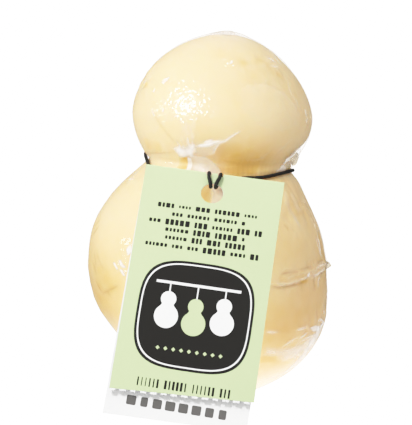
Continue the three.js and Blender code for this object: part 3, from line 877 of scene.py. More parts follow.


# Film: its creases, crumples and pleats

# Creases of the film: places as angle in degrees and level in millimetres, then height and width of the
# ridge in millimetres, and how white it is, partly milky film and partly a painted glint, or how dark where
# that is negative, which is painted shade along the fold. One of negative height goes in. First, steps from
# place to place, how many widths a crease reaches, and where along it its ends taper.
CREASE_STEPS = 6
CREASE_REACH = 7
CREASE_ENDS = (0.02, 0.98)
CREASES = [
    # Head
    ([(-136.8, 91.0), (-134.2, 89.3), (-131.9, 87.9), (-127.1, 85.1), (-122.5, 82.8),
      (-118.6, 81.2)], -0.08, 0.26, -0.38),
    ([(-138.9, 92.9), (-137.6, 91.4), (-136, 90.2)], 0.12, 0.3, 0.55),
    ([(-117.8, 80.8), (-120.8, 83.2)], 0.12, 0.26, 0.4),
    ([(-115.6, 80.8), (-117.4, 84)], 0.12, 0.22, 0.35),
    ([(-111.4, 81.6), (-112.6, 84.6)], 0.12, 0.22, 0.45),
    ([(-106.3, 81.9), (-103.0, 82.0), (-99.1, 82.4), (-95.4, 82.9), (-91.9, 83.3)], 0.25, 0.3, 1.1),
    ([(-101.7, 82.9), (-98.5, 83.3), (-95.8, 83.5)], 0.15, 0.3, 1.0),
    ([(-93.5, 82.7), (-91.2, 82.9), (-88.2, 83.4), (-85.3, 84.4), (-83.0, 85.3),
      (-80.1, 86.2)], 0.2, 0.26, 0.8),
    ([(-95.2, 79.1), (-94.8, 80.3), (-93.4, 81.5), (-91.2, 82.7)], 0.15, 0.3, 0.2),
    ([(-112.6, 89.5), (-113.0, 81.6)], 0.12, 0.5, 0.2),
    ([(-108.8, 89.0), (-109.0, 82.6)], 0.12, 0.45, 0.2),
    ([(-106.3, 90.2), (-107.9, 82.9)], 0.1, 0.4, 0.12),
    ([(-114.9, 88.0), (-114.8, 81.6)], 0.1, 0.4, 0.14),
    ([(-166, 77.6), (-162.5, 78.0), (-150, 78.3), (-139.1, 78.6), (-128.2, 79.2),
      (-120.8, 80.1)], -0.3, 0.3, -0.5),
    ([(-162, 77.0), (-139, 77.7), (-124, 78.6)], 0.12, 0.5, 0.1),
    ([(-78.6, 99.1), (-72.8, 99.8), (-66.0, 100.1), (-57.0, 99.3), (-49.7, 97.7), (-43.9, 95.9),
      (-38.8, 93.4), (-36.1, 90.6), (-35.1, 87.8)], 0.1, 0.35, 0.1),
    ([(-79.4, 99.8), (-66.0, 100.9), (-56.4, 100.1), (-48.8, 98.4), (-42.6, 96.5), (-37.6, 93.8),
      (-34.8, 90.8)], -0.08, 0.35, -0.14),
    ([(-34.1, 103.4), (-36.2, 101.3), (-38.6, 98.3), (-37.5, 95.8), (-34.2, 93.3),
      (-30.5, 91.4)], 0.12, 0.35, 0.18),
    # Painted glints at the right edge of the head
    ([(-27.0, 92.4), (-26.8, 90.1)], 0.3, 0.3, 0.8),
    ([(-27.1, 89.5), (-25.4, 87.6)], 0.3, 0.3, 0.6),
    ([(-43.0, 108.0), (-38.6, 106.8)], 0.12, 0.5, 0.4),
    ([(-46.9, 105.6), (-37.9, 105.0)], 0.12, 0.5, 0.3),
    ([(-31, 108.2), (-30.1, 105.6)], 0.15, 0.4, 0.4),
    ([(-29.4, 111.5), (-27.8, 108.5)], 0.25, 0.5, 0.2),
    ([(-162.8, 100.2), (-153.7, 101.2)], 0.15, 0.3, 0.5),
    ([(-161.6, 98.3), (-158.4, 98.8), (-154.6, 99.6)], -0.14, 0.3, -0.5),
    ([(-67.3, 77.0), (-60.9, 77.9), (-55.5, 80.2)], 0.1, 0.4, 0.1),
    ([(-50.4, 78.4), (-44.5, 82.1), (-40, 84)], 0.1, 0.4, 0.08),
    # Right of the neck
    ([(-35.3, 75.4), (-34.3, 76.3), (-33.5, 76.9), (-32.2, 77.6), (-28.5, 79.2),
      (-24, 81)], 0.6, 0.32, 0.9),
    ([(-43, 73.0), (-38, 74.3), (-33.6, 75.2)], 0.3, 0.3, 0.6),
    ([(-30.6, 74.9), (-27.5, 74.0), (-25, 73.4)], -0.3, 0.35, -0.12),
    # Shoulders
    ([(-40.7, 67.4), (-43.5, 63.7), (-41.5, 60.2), (-39.7, 57)], 0.3, 0.9, 0.04),
    ([(-42.1, 60.4), (-40.4, 58.2), (-37.8, 55.9)], 0.25, 0.6, 0.12),
    ([(-38.4, 66), (-37.2, 63.1), (-36.1, 60.4)], 0.15, 0.8, 0.12),
    ([(-33, 68.5), (-33.5, 64), (-32, 60)], 0.15, 0.6, 0.08),
    ([(-22.5, 70.3), (-26.1, 66.2), (-26.5, 61.6)], -0.12, 0.9, -0.12),
    ([(-51, 57.6), (-49, 56.7), (-48.5, 55.7)], -0.1, 0.24, -0.42),
    ([(-46.2, 56.3), (-44.6, 55.2)], -0.1, 0.24, -0.35),
    ([(-166.2, 73.8), (-165.4, 72.6), (-163.2, 70.8), (-160.4, 69.1)], 0.3, 0.55, 0.3),
    ([(-164.5, 69.8), (-160, 69.9), (-157, 70.3)], 0.25, 0.3, 0.6),
    ([(-16, 56), (-16.5, 52), (-16.5, 48), (-14, 44)], -0.2, 0.3, -0.4),
    # Painted glints near the right edge of the belly
    ([(-19.4, 53.6), (-21.3, 51.3), (-20.9, 50.0), (-22.2, 47.9), (-20.4, 45.6)], 0.35, 0.28, 0.8),
    ([(-23.6, 52.2), (-24.6, 50.2), (-23.6, 48.4), (-22.4, 46.0)], 0.3, 0.26, 0.5),
    ([(-18.5, 54), (-14, 52.6), (-13, 49.5), (-10, 46), (-7, 43.6)], 0.35, 0.28, 0.7),
    # Seam that goes round the belly
    ([(-57, 42.0), (-45, 42.4), (-30, 42.4), (-12, 42.2), (10, 41.8), (34, 42.0),
      (60, 41.5)], 0.9, 0.9, 0.07),
    ([(-56.2, 43.2), (-52.2, 43.6), (-49.7, 43.5), (-44.8, 43.1)], -0.4, 0.3, -0.6),
    ([(-43.4, 43.7), (-39.5, 43.8), (-34.4, 43.8)], -0.3, 0.3, -0.5),
    ([(-60, 40.8), (-56.5, 40.4), (-53.2, 40.0), (-49.7, 40.1), (-45.8, 40.5)], 0.7, 0.34, 0.16),
    ([(-47.5, 40.3), (-42.2, 40.9), (-38.3, 41.1), (-34.7, 41.2)], 0.8, 0.34, 0.28),
    ([(-53, 41.6), (-48, 42.2), (-43, 42.0)], 0.4, 0.26, 0.1),
    ([(-44, 42.6), (-39, 42.4), (-33, 42.7)], 0.4, 0.26, 0.12),
    ([(-61, 39.9), (-54.6, 39.3), (-49.7, 39.3), (-45.3, 39.4), (-40, 39.8)], -0.45, 0.3, -0.65),
    # Painted glints at the right end of the seam
    ([(-33.4, 41.5), (-32.0, 40.8), (-27.4, 41.2), (-22.7, 41.4), (-17.6, 41.5)], 0.8, 0.3, 0.8),
    ([(-30, 43.0), (-24, 43.2), (-17, 42.9)], 0.5, 0.3, 0.5),
    ([(-31.3, 40.5), (-32.1, 39.7), (-31.5, 38.3), (-30.7, 36.2)], -0.45, 0.3, -0.6),
    ([(-29, 43.9), (-23, 44.4), (-17, 44.2)], -0.35, 0.3, -0.45),
    ([(-27, 40.4), (-22, 40.5), (-17, 40.3)], -0.35, 0.3, -0.5),
    ([(-28.2, 38.9), (-25.0, 39.7)], 0.3, 0.3, 0.55),
    ([(-27.9, 39.0), (-27.4, 36.9)], 0.3, 0.3, 0.45),
    ([(60, 41.5), (90, 42.6), (120, 41.6), (150, 42.4), (178, 41.8)], 0.6, 0.6, 0.12),
    # Left of the belly
    ([(-147.8, 35.4), (-143.9, 36.4), (-137.7, 37.9), (-134.5, 39.3)], -0.35, 0.36, -0.4),
    ([(-143.9, 36.4), (-142.2, 35.9), (-140.6, 35.0)], -0.25, 0.3, -0.35),
    ([(-154.6, 47.3), (-149.1, 44.7), (-145.5, 42.9)], -0.2, 0.36, -0.25),
    ([(-165.6, 52.0), (-162.6, 53.6), (-159.7, 55.4)], -0.2, 0.3, -0.55),
    ([(-168, 54.3), (-165.3, 55.6), (-162.5, 57.2)], -0.2, 0.3, -0.55),
    ([(-157.7, 47.1), (-155.2, 45.0), (-153.4, 42.6)], -0.2, 0.3, -0.35),
    ([(-159.8, 43.9), (-156.3, 42.8), (-152.3, 40.4)], -0.2, 0.3, -0.35),
    ([(-154.6, 38.4), (-151.8, 36.9), (-148.6, 35.6)], -0.2, 0.3, -0.4),
    # Back
    ([(68, 99), (78, 93), (86, 86)], 0.2, 0.4, 0.22),
    ([(118, 105), (127, 98), (133, 90)], 0.15, 0.45, 0.18),
    ([(98, 82), (112, 84), (126, 83)], 0.25, 0.34, 0.45),
    ([(58, 67), (65, 60), (67, 53)], 0.25, 0.6, 0.2),
    ([(141, 66), (136, 58), (138, 50)], 0.25, 0.5, 0.22),
    ([(98, 31), (112, 26), (126, 28)], 0.35, 0.4, 0.4),
    ([(148, 29), (160, 24), (173, 26)], 0.35, 0.36, 0.4),
    ([(36, 27), (46, 23), (58, 24)], 0.35, 0.36, 0.45),
    ([(78, 21), (94, 17), (110, 18)], 0.3, 0.4, 0.35),
    ([(86, 43.8), (100, 44.6), (114, 44.2)], -0.3, 0.34, -0.4),
    ([(124, 40.2), (140, 39.8), (154, 40.6)], -0.35, 0.34, -0.45),
    # Low on the right
    ([(-28.0, 24.8), (-26.0, 25.7), (-21.3, 25.0), (-18.5, 23.7), (-23.1, 23.3)], 0.5, 0.3, 0.95),
    ([(-45.4, 25.2), (-42.3, 25.2), (-38.2, 25.5)], 0.4, 0.3, 0.7),
    ([(-41.7, 22.3), (-38.8, 22.6), (-35.8, 23.1)], 0.4, 0.3, 0.7),
    ([(-63, 26.3), (-56.6, 25.4)], 0.3, 0.32, 0.5),
    ([(-51.7, 20.1), (-48.2, 21.7), (-44, 22.6)], 0.3, 0.36, 0.4),
    ([(-40, 20.6), (-34, 21.6), (-28, 21.4)], 0.3, 0.36, 0.4),
    ([(-20.2, 28.2), (-17.9, 26.8)], 0.4, 0.3, 0.7),
]

# Crumpled places: angle, level, spread, depth and wave of the crumple in millimetres, whiteness. First,
# how many spreads each one reaches, its seed, and how much of the whiteness lies everywhere and how much
# on the crests.
CRUMPLE = dict(reach=2.6, seed=40, everywhere=0.6, crests=0.4)
CRUMPLES = [
    (-115, 79.8, 3.2, 0.1, 1.7, 0.2),
    (-97, 76.5, 6.5, 0.05, 3.5, 0.05),
    (-31, 21, 9, 0.28, 3.0, 0.12),
    (-132, 46, 5, 0.18, 2.0, 0.03),
    (-157, 100, 3, 0.12, 1.8, 0.0),
    (-36, 105.5, 6, 0.12, 2.4, 0.02),
    (-78, 106.6, 4, 0.08, 2.2, 0.0),
    (-29, 75.6, 3.2, 0.4, 1.7, 0.2),
    (-33, 42, 5, 0.25, 1.4, 0.08),
    (-43, 41.9, 4, 0.25, 1.4, 0.06),
    (-53, 41.7, 4, 0.22, 1.4, 0.05),
    (-8, 31, 6, 0.3, 2.0, 0.08),
    (-146, 81, 9, 0.03, 2.0, 0.06),
    (-36, 61, 8, 0.35, 2.8, 0.03),
    (-50, 100, 13, 0.08, 5.0, 0.03),
    (-62, 108, 8, 0.08, 3.0, 0.02),
    (-168, 101, 6, 0.2, 2.6, 0.03),
    (150, 93, 10, 0.15, 3.4, 0.02),
    (168, 58, 10, 0.18, 3.6, 0.03),
    (130, 62, 10, 0.16, 4.0, 0.02),
    (40, 95, 9, 0.14, 3.6, 0.02),
    (112, 24, 9, 0.25, 3.0, 0.1),
    (45, 25, 8, 0.25, 3.0, 0.1),
    (158, 43, 7, 0.25, 2.4, 0.08),
    (100, 42.6, 7, 0.25, 2.4, 0.08),
    (120, 50, 14, 0.20, 5.0, 0.03),
    (60, 92, 10, 0.15, 4.0, 0.03),
    (165, 30, 14, 0.20, 4.5, 0.04),
    (100, 78, 8, 0.30, 3.0, 0.14),
]

# Finely crinkled places: angle, level, spread in millimetres and strength. First, the film's plain
# crinkle, then the depth of the wrinkles, and the share, length and seed of each wave in them.
PLAIN_CRINKLE = dict(mean=0.04, swing=0.03, wave=10 * MM, seed=12)
CRINKLE_DEPTH = 0.15 * MM
WRINKLES = [(1.0, 0.75 * MM, 6), (0.45, 0.45 * MM, 7)]
CRINKLES = [
    (-112.8, 94.3, 13, 1.0), (-113.5, 93.6, 3.5, -0.12), (-132, 46, 7, 0.2), (-30, 22, 11, 0.4),
    (-28, 90, 6, 0.45), (-22, 49, 8, 0.6), (-150, 60, 12, 0.13), (60, 60, 22, 0.35), (150, 92, 16, 0.35),
    (120, 30, 18, 0.35),
]

# Places where the film mirrors little: angle, level, spread in millimetres and how matt it is.
MATT_PLACES = [(-117, 75, 3.5, 1.0), (-104, 77, 5, 0.6), (-97, 80.5, 3, 0.6), (-94, 67, 4, 1.0)]

# Shaded places: angle, level, spread in millimetres and how dark.
SHADED_PLACES = [
    (-97, 75, 4, 0.46), (-77, 74.8, 4.5, 0.32), (-96, 67.3, 5, 0.2), (-158, 33, 14, 0.2),
    (-148, 26.5, 4, 0.12),
]

# Places where the film lifts off the cheese: angle, level, spread and height in millimetres, whiteness.
LIFTS = [
    (-60, 115.4, 8, 1.2, 0.4), (-25, 107, 7, 0.55, 0.05), (-150, 112, 8, 0.4, 0.1), (90, 112, 9, 0.5, 0.1),
]

LIFT_CREASES = dict(mean=0.8, swing=0.2, wave=4 * MM, seed=15)

# Pleats: how many go round, their height and shade, how far they reach up and down from the cord, and how
# much they drift sideways. Then how uneven they are, and how the broad ones grow from the left to the
# right.
FINE_PLEATS = dict(count=88, height=0.09 * MM, shade=0.14, reach_up=4 * MM, reach_down=6 * MM, drift=7)
BROAD_PLEATS = dict(count=34, height=0.26 * MM, shade=0.1, reach_up=2.5 * MM, reach_down=13 * MM, drift=2.6)
PLEAT_DRIFT = dict(wave=13 * MM, seed=21)
FINE_STRENGTH = dict(mean=0.55, swing=0.45, wave=10 * MM, seed=22)
BROAD_STRENGTH = dict(mean=0.25, swing=0.9, wave=5 * MM, seed=23)
TO_THE_RIGHT = dict(mean=0.6, swing=0.4)

# The film's swell, the wobble of its creases, its thin haze, and the haze of its patches and its foot,
# where the white is also painted light from the table.
FILM_SWELL = [(0.10 * MM, 15 * MM, 5)]
FILM_WOBBLE = dict(far=0.25 * MM, wave=3.0 * MM, seed=31)
THIN_HAZE = dict(mean=0.012, swing=0.012, wave=8 * MM, seed=8)
PATCH_MOTTLE = dict(mean=0.8, swing=0.2, wave=2.2 * MM, seed=14)
FOOT_HAZE_AND_TABLE_LIGHT = dict(low=4 * MM, high=16 * MM, amount=0.38)
FOOT_MOTTLE = dict(mean=0.8, swing=0.2, wave=7 * MM, seed=9)
MOST_WHITE = 0.95


def pleat_relief(angle, level, points):
    """Small gathers that run up and down from the cord, and broader ones over the shoulders.

    Gives their height and how dark they are.
    """
    above = level - cord_level(angle)
    drift = noise(points, **PLEAT_DRIFT)
    fine = np.sin(FINE_PLEATS["count"] * angle + FINE_PLEATS["drift"] * drift)
    fine *= mottle(points, **FINE_STRENGTH)
    broad = 1 - 2 * np.abs(np.sin(BROAD_PLEATS["count"] / 2 * angle + BROAD_PLEATS["drift"] * drift))
    broad *= np.clip(mottle(points, **BROAD_STRENGTH), 0, 1)
    broad *= TO_THE_RIGHT["mean"] + TO_THE_RIGHT["swing"] * np.cos(angle)
    height, dark = np.zeros(len(points)), np.zeros(len(points))
    for pleats, wave in ((FINE_PLEATS, fine), (BROAD_PLEATS, broad)):
        reach = np.where(above > 0, pleats["reach_up"], pleats["reach_down"])
        gather = wave * np.exp(-np.abs(above) / reach)
        height += pleats["height"] * gather
        dark += pleats["shade"] * np.maximum(-gather, 0)
    return height, dark


def crease_ridge(points, places, width):
    """Which points lie near a crease, and how much of its ridge each of them has, from 0 to 1."""
    line = smooth_line([bag_place(*place) for place in places], CREASE_STEPS)
    middle = line.mean(axis=0)
    reach = np.linalg.norm(line - middle, axis=1).max() + CREASE_REACH * width * MM
    near = np.linalg.norm(points - middle, axis=1) < reach
    gap, along = near_line(points[near], line)
    taper = np.sqrt(np.sin(math.pi * np.clip(along, *CREASE_ENDS)))
    return near, taper * np.exp(-gap / (width * MM))


def milky_film(level, points):
    """How white the film is in its patches, some of them painted glints, where it lifts, and near the foot,
    partly painted table light.
    """
    uneven = mottle(points, **PATCH_MOTTLE)
    white = np.zeros(len(points))
    for outline, soft, whitening, _ in PATCHES:
        white += whitening * uneven * patch_share(points, outline, soft * MM)
    for degrees, middle, spread, _, whiteness in LIFTS:
        white += whiteness * uneven * spot(points, degrees, middle, spread)
    foot = 1 - smoothstep(level, FOOT_HAZE_AND_TABLE_LIGHT["low"], FOOT_HAZE_AND_TABLE_LIGHT["high"])
    return white + FOOT_HAZE_AND_TABLE_LIGHT["amount"] * foot * mottle(points, **FOOT_MOTTLE)


def film_folds(angle, level, points):
    """How far the film stands off its smooth form at each point, how white it is, and how dark with painted
    shade.
    """
    pleats, dark = pleat_relief(angle, level, points)
    relief = waves(points, FILM_SWELL) + pleats
    white = mottle(points, **THIN_HAZE)
    dark += spread_over(points, SHADED_PLACES)
    wobbly = shaken(points, **FILM_WOBBLE)
    # Creases whiten the film, in places as a painted glint, and where their whiteness is negative they
    # darken it with painted shade.
    for places, height, width, whiteness in CREASES:
        near, ridge = crease_ridge(wobbly, places, width)
        relief[near] += height * MM * ridge
        white[near] += max(whiteness, 0) * ridge
        dark[near] += max(-whiteness, 0) * ridge
    for degrees, middle, spread, depth, wave, whiteness in CRUMPLES:
        patch = spot(points, degrees, middle, spread)
        near = patch > bump(CRUMPLE["reach"], 1)
        crumple = creased(wobbly[near], wave * MM, CRUMPLE["seed"] + int(abs(degrees)))
        relief[near] += depth * MM * patch[near] * crumple
        white[near] += whiteness * patch[near] * (CRUMPLE["everywhere"] + CRUMPLE["crests"] * crumple)
    white += milky_film(level, points)
    return relief, np.clip(white, 0, MOST_WHITE), np.clip(dark, 0, 1)


def crinkle_strength(points):
    """How finely wrinkled the film is, from 0 to 1. The wrinkles break up what it mirrors."""
    return np.clip(mottle(points, **PLAIN_CRINKLE) + spread_over(points, CRINKLES), 0, 1)


def lift_height(points):
    """How far the film stands off the cheese where it is loose."""
    places = [(degrees, level, spread, most * MM) for degrees, level, spread, most, _ in LIFTS]
    return spots(points, places) * mottle(points, **LIFT_CREASES, field=creased)


# What light the film lets through where it is seen edge on or is shaded, and the white of crumpled film.
FILM_SHADE = (0.48, 0.39, 0.28, 1)
FOLD_SHADE = (0.70, 0.69, 0.66, 1)
BUBBLE_SHADE = (0.61, 0.54, 0.42, 1)
VEIL = (0.93, 0.915, 0.885, 1)
# How much the film mirrors face on and edge on, how dark its rim is, and how narrow both are. Then how
# rough it is where it is clear, where it is white and in the veil, and the grain of its finest crinkles.
MIRROR = dict(face_on=0.05, edge_on=0.2, power=4.0)
RIM = dict(dark=0.8, power=9.0)
FILM_ROUGHNESS = dict(clear=0.06, white=0.9, veil=0.3)
FILM_GRAIN = dict(scale=1500.0, detail=1.0)
FILM_GRAIN_DEPTH = 0.03 * MM


def film_material(name, shade):
    """Clear film that mirrors a little, with a white veil where it is crumpled or a glint or table light is
    painted, and a shade at its edges and where shade is painted.
    """
    material, tree = new_material(name)
    haze, dark, crinkle, matt = (
        painted_value(tree, label) for label in ("haze", "dark", "crinkle", "matt")
    )
    relief = embossed(tree, grain(tree, object_place(tree), **FILM_GRAIN), crinkle, FILM_GRAIN_DEPTH)
    facing = put(tree, "ShaderNodeLayerWeight", {"Blend": 0.5}).outputs["Facing"]
    edge = calculate(tree, "POWER", facing, MIRROR["power"])
    mirror = ramp(tree, edge, 0, 1, MIRROR["face_on"], MIRROR["edge_on"])
    mirror = calculate(tree, "MULTIPLY", mirror, calculate(tree, "SUBTRACT", 1.0, matt))
    rim = calculate(tree, "MULTIPLY", calculate(tree, "POWER", facing, RIM["power"]), RIM["dark"])
    depth = calculate(tree, "ADD", rim, dark, use_clamp=True)
    clear = put(tree, "ShaderNodeBsdfTransparent", {"Color": mixed_color(tree, depth, WHITE, shade)})
    roughness = ramp(tree, haze, 0, 1, FILM_ROUGHNESS["clear"], FILM_ROUGHNESS["white"])
    gloss = put(tree, "ShaderNodeBsdfGlossy", {"Color": WHITE, "Roughness": roughness, "Normal": relief})
    veil = put(tree, "ShaderNodeBsdfPrincipled", {
        "Base Color": VEIL, "Roughness": FILM_ROUGHNESS["veil"], "Normal": relief,
    })
    skin = blend(tree, mirror, clear, gloss)
    surface(tree, blend(tree, haze, skin, veil))
    return material


def paint_film(mesh, haze, dark, crinkle, matt):
    for label, values in (("haze", haze), ("dark", dark), ("crinkle", crinkle), ("matt", matt)):
        paint(mesh, label, values)


def film_panel(name, panel, levels_at, tip, material, upward):
    """One panel of the film, from the cord to the one point that closes it."""
    first, last, columns, rows = panel
    angles = np.radians(np.linspace(first, last, columns))
    angle, share = np.meshgrid(angles, np.linspace(0, 1, rows))
    level = levels_at(angle, share).ravel()
    angle = angle.ravel()
    points = film_point(angle, level)
    relief, white, dark = film_folds(angle, level, points)
    crinkle = crinkle_strength(points)
    matt = spread_over(points, MATT_PLACES)
    wrinkle = CRINKLE_DEPTH * crinkle * waves(points, WRINKLES)
    moved = (relief + wrinkle + lift_height(points))[:, None]
    points = points + film_normals(angle, level) * moved
    points[:, 2] = np.maximum(points[:, 2], FILM_LOWEST)
    count = len(points)
    start = count - columns if upward else 0
    faces = grid_faces(columns, rows) + fan_faces(start, columns, count, upward)
    mesh = mesh_from(name, np.concatenate([points, [tip]]), faces, material)
    paint_film(mesh, *(np.append(values, values[start]) for values in (white, dark, crinkle, matt)))
    return add_object(name, mesh)


def make_film(material):
    crown = HEAD["high"]

    def head_level(angle, share):
        neck = cord_level(angle)
        return crown - (crown - neck) * np.maximum(1 - share, CROWN_LAST_ROW) ** CROWN_CROWDING

    def belly_level(angle, share):
        return cord_level(angle) * share**FOOT_CROWDING

    top, bottom = (HEAD["axis_x"], 0, crown), (BELLY["axis_x"], 0, FILM_LOWEST)
    heads = [
        film_panel(name, panel, head_level, top, material, upward=True)
        for name, panel in HEAD_PANELS.items()
    ]
    bellies = [
        film_panel(name, panel, belly_level, bottom, material, upward=False)
        for name, panel in BELLY_PANELS.items()
    ]
    return heads + bellies


# Thin folds of film that stand off the bag. The tuft's places lie round the crown, in millimetres, and
# the flap's are angles in degrees and levels in millimetres. Then which way each one rises, its heights
# along it in millimetres, which way its edge leans, its seed, and how hazy it is.
TUFT = dict(
    rise=(0.1, 0, 1), heights=(0.1, 0.9, 1.5, 1.3, 0.6, 0.1), lean=(0.3, -0.8, -0.2), seed=61, haze=0.55,
)
TUFT_PLACES = [(-5.5, -0.5, -0.4), (-1.5, -0.9, 0), (2.5, -0.2, 0), (6.0, -0.6, -0.4)]
FLAP = dict(
    rise=(0.95, -0.3, 0), heights=(0.4, 2.0, 2.2, 1.2, 0.3), lean=(-0.1, -0.5, 0.1), seed=71, haze=0.1,
)
FLAP_PLACES = [(-20, 73.6), (-21, 75.8), (-23, 78.2), (-25, 80.6)]
# How deep they start in the film, their steps along and up, their shake, and how white and dark they are.
FOLD_SUNK = 0.3 * MM
FOLD_ALONG = 48
FOLD_UP = 12
FOLD_SHAKE = dict(far=0.28 * MM, wave=1.6 * MM)
FOLD_HAZE = dict(edge_from=0.7, edge=0.35, swing=0.15, wave=1.5 * MM, most=0.9)
FOLD_DARK = dict(mean=0.3, swing=0.5, wave=1.8 * MM)
FOLD_CRINKLE = 0.4


def film_fold(name, places, rise, heights, lean, seed, haze, material):
    """A thin crumpled sheet that rises from a line through the places."""
    line = smooth_line(places, FOLD_ALONG // (len(places) - 1))
    width = len(line)
    along = np.linspace(0, 1, width)
    tall = np.interp(along, np.linspace(0, 1, len(heights)), np.array(heights) * MM)[:, None]
    shares = np.linspace(0, 1, FOLD_UP + 1)
    rise, lean = np.array(rise), np.array(lean)
    points = np.concatenate([line + tall * share * (rise + lean * share**2) for share in shares])
    up = np.repeat(shares, width)
    points = shaken(points, FOLD_SHAKE["far"] * up[:, None], FOLD_SHAKE["wave"], seed)
    mesh = mesh_from(name, points, grid_faces(width, FOLD_UP + 1), material)
    white = mottle(points, haze, FOLD_HAZE["swing"], FOLD_HAZE["wave"], seed + 9)
    white += FOLD_HAZE["edge"] * smoothstep(up, FOLD_HAZE["edge_from"], 1)
    dark = mottle(points, **FOLD_DARK, seed=seed + 5)
    crinkle, matt = np.full(len(points), FOLD_CRINKLE), np.zeros(len(points))
    paint_film(mesh, np.clip(white, 0, FOLD_HAZE["most"]), np.clip(dark, 0, 1), crinkle, matt)
    return add_object(name, mesh)


def make_folds(material):
    crown = HEAD["high"] - FOLD_SUNK
    middle = np.array([axis_x(np.float64(crown)), 0, crown])
    tuft_places = [middle + np.array(place) * MM for place in TUFT_PLACES]
    flap_places = [bag_place(*place, -FOLD_SUNK) for place in FLAP_PLACES]
    return [
        film_fold("film_tuft", tuft_places, **TUFT, material=material),
        film_fold("film_flap", flap_places, **FLAP, material=material),
    ]


# Bubbles of film at the right of the neck and of the seam: middle and half sizes in millimetres, how far
# each one turns, and how crumpled it is. Then how many points go round each, its rings, and how uneven
# and dark it is.
BUBBLES = {
    "film_bubble": ((27.5, -9.5, 76.5), (1.15, 1.5, 2.1), math.radians(12), 0.1),
    "film_nub": ((37.9, -6.0, 41.6), (1.8, 3.5, 1.0), math.radians(-8), 0.45),
}
BUBBLE_AROUND = 40
BUBBLE_RINGS = 24
BUBBLE_CRUMPLE = dict(wave=1.3 * MM, seed=91)
BUBBLE_HAZE = dict(mean=0.2, swing=0.1, wave=1.5 * MM, seed=92)
BUBBLE_DARK = 0.8


def make_bubble(name, material):
    middle, half, lean, crumpled = BUBBLES[name]
    turns = np.arange(BUBBLE_AROUND) * 2 * math.pi / BUBBLE_AROUND
    rises = np.linspace(-0.5, 0.5, BUBBLE_RINGS + 2)[1:-1] * math.pi
    turn, rise = (grid.ravel() for grid in np.meshgrid(turns, rises))
    ball = np.stack([np.cos(rise) * np.cos(turn), np.cos(rise) * np.sin(turn), np.sin(rise)], axis=1)
    ball = np.concatenate([ball, [(0, 0, -1), (0, 0, 1)]])
    points = ball * np.array(half) * MM
    points = points * mottle(points, 1, crumpled, **BUBBLE_CRUMPLE)[:, None]
    points = points @ np.array(Matrix.Rotation(lean, 3, "Y")).T + np.array(middle) * MM
    mesh = mesh_from(name, points, closed_faces(BUBBLE_AROUND, BUBBLE_RINGS), material)
    none = np.zeros(len(points))
    paint_film(mesh, mottle(points, **BUBBLE_HAZE), none + BUBBLE_DARK, none, none)
    return add_object(name, mesh)


# Cord

def card_matrix():
    turned = Matrix.Rotation(CARD_YAW, 4, "Z") @ Matrix.Rotation(-CARD_LEAN, 4, "X")
    return Matrix.Translation(CARD_TOP) @ turned @ Matrix.Rotation(CARD_ROLL, 4, "Y")


CARD_PLACE = card_matrix()
BACK_OF_CARD = -2 * FOLD_RADIUS
HOLE_TOP = HOLE["drop"] - HOLE["height"] / 2

# Half of the cord's way on the card: across, down and out of the card's face. It goes as in the solid,
# but its two legs lie a little closer together in the hole.
CARD_ROUTE = [
    (0.95 * MM, HOLE_TOP - 0.3 * MM, BACK_OF_CARD - CORD_OFF_CARD),
    (0.84 * MM, HOLE_TOP + 0.65 * MM, BACK_OF_CARD - 0.6 * MM),
    (0.72 * MM, HOLE_TOP + 1.0 * MM, BACK_OF_CARD / 2),
    (0.76 * MM, HOLE_TOP + 0.65 * MM, 0.6 * MM),
    (1.1 * MM, HOLE_TOP - 0.4 * MM, CORD_OFF_CARD),
    (1.55 * MM, 1.2 * MM, CORD_OFF_CARD),
    (NOTCH["across"], 0.1 * MM, 0.75 * MM),
    (NOTCH["across"], NOTCH["down"], BACK_OF_CARD / 2),
    (NOTCH["across"] + 0.1 * MM, 0.1 * MM, BACK_OF_CARD - 0.8 * MM),
    (2.9 * MM, 1.0 * MM, BACK_OF_CARD - 1.9 * MM),
]
CORD_BIGHT = (0, HOLE_TOP - 1.25 * MM, BACK_OF_CARD - CORD_OFF_CARD - 0.1 * MM)


def on_card(across, down, out):
    return np.array(CARD_PLACE @ Vector((across, -out, -down)))


def cord_line():
    """The cord's whole way: through the card's hole, over its fold and round the neck."""
    right = [on_card(*CORD_BIGHT)] + [on_card(*place) for place in CARD_ROUTE]
    neck = [
        bag_point(np.float64(angle), np.float64(level), CORD_OFF_BAG + further)
        for angle, level, further in NECK_ROUTE
    ]
    left = [on_card(-across, down, out) for across, down, out in reversed(CARD_ROUTE)]
    return smooth_line(right + neck + left, CORD_STEPS, closed=True)


DARK_YARN = (0.004, 0.004, 0.004, 1)
LIGHT_YARN = (0.030, 0.028, 0.026, 1)
YARN_GRAIN = dict(scale=2600.0, detail=3.0)
YARN_RELIEF = dict(strength=0.5, distance=0.05 * MM)


def cord_material():
    material, tree = new_material("black_elastic")
    yarn = grain(tree, object_place(tree), **YARN_GRAIN)
    shader = put(tree, "ShaderNodeBsdfPrincipled", {
        "Base Color": mixed_color(tree, yarn, DARK_YARN, LIGHT_YARN),
        "Roughness": 0.5, "Specular IOR Level": 0.3, "Normal": embossed(tree, yarn, **YARN_RELIEF),
    })
    surface(tree, shader)
    return material


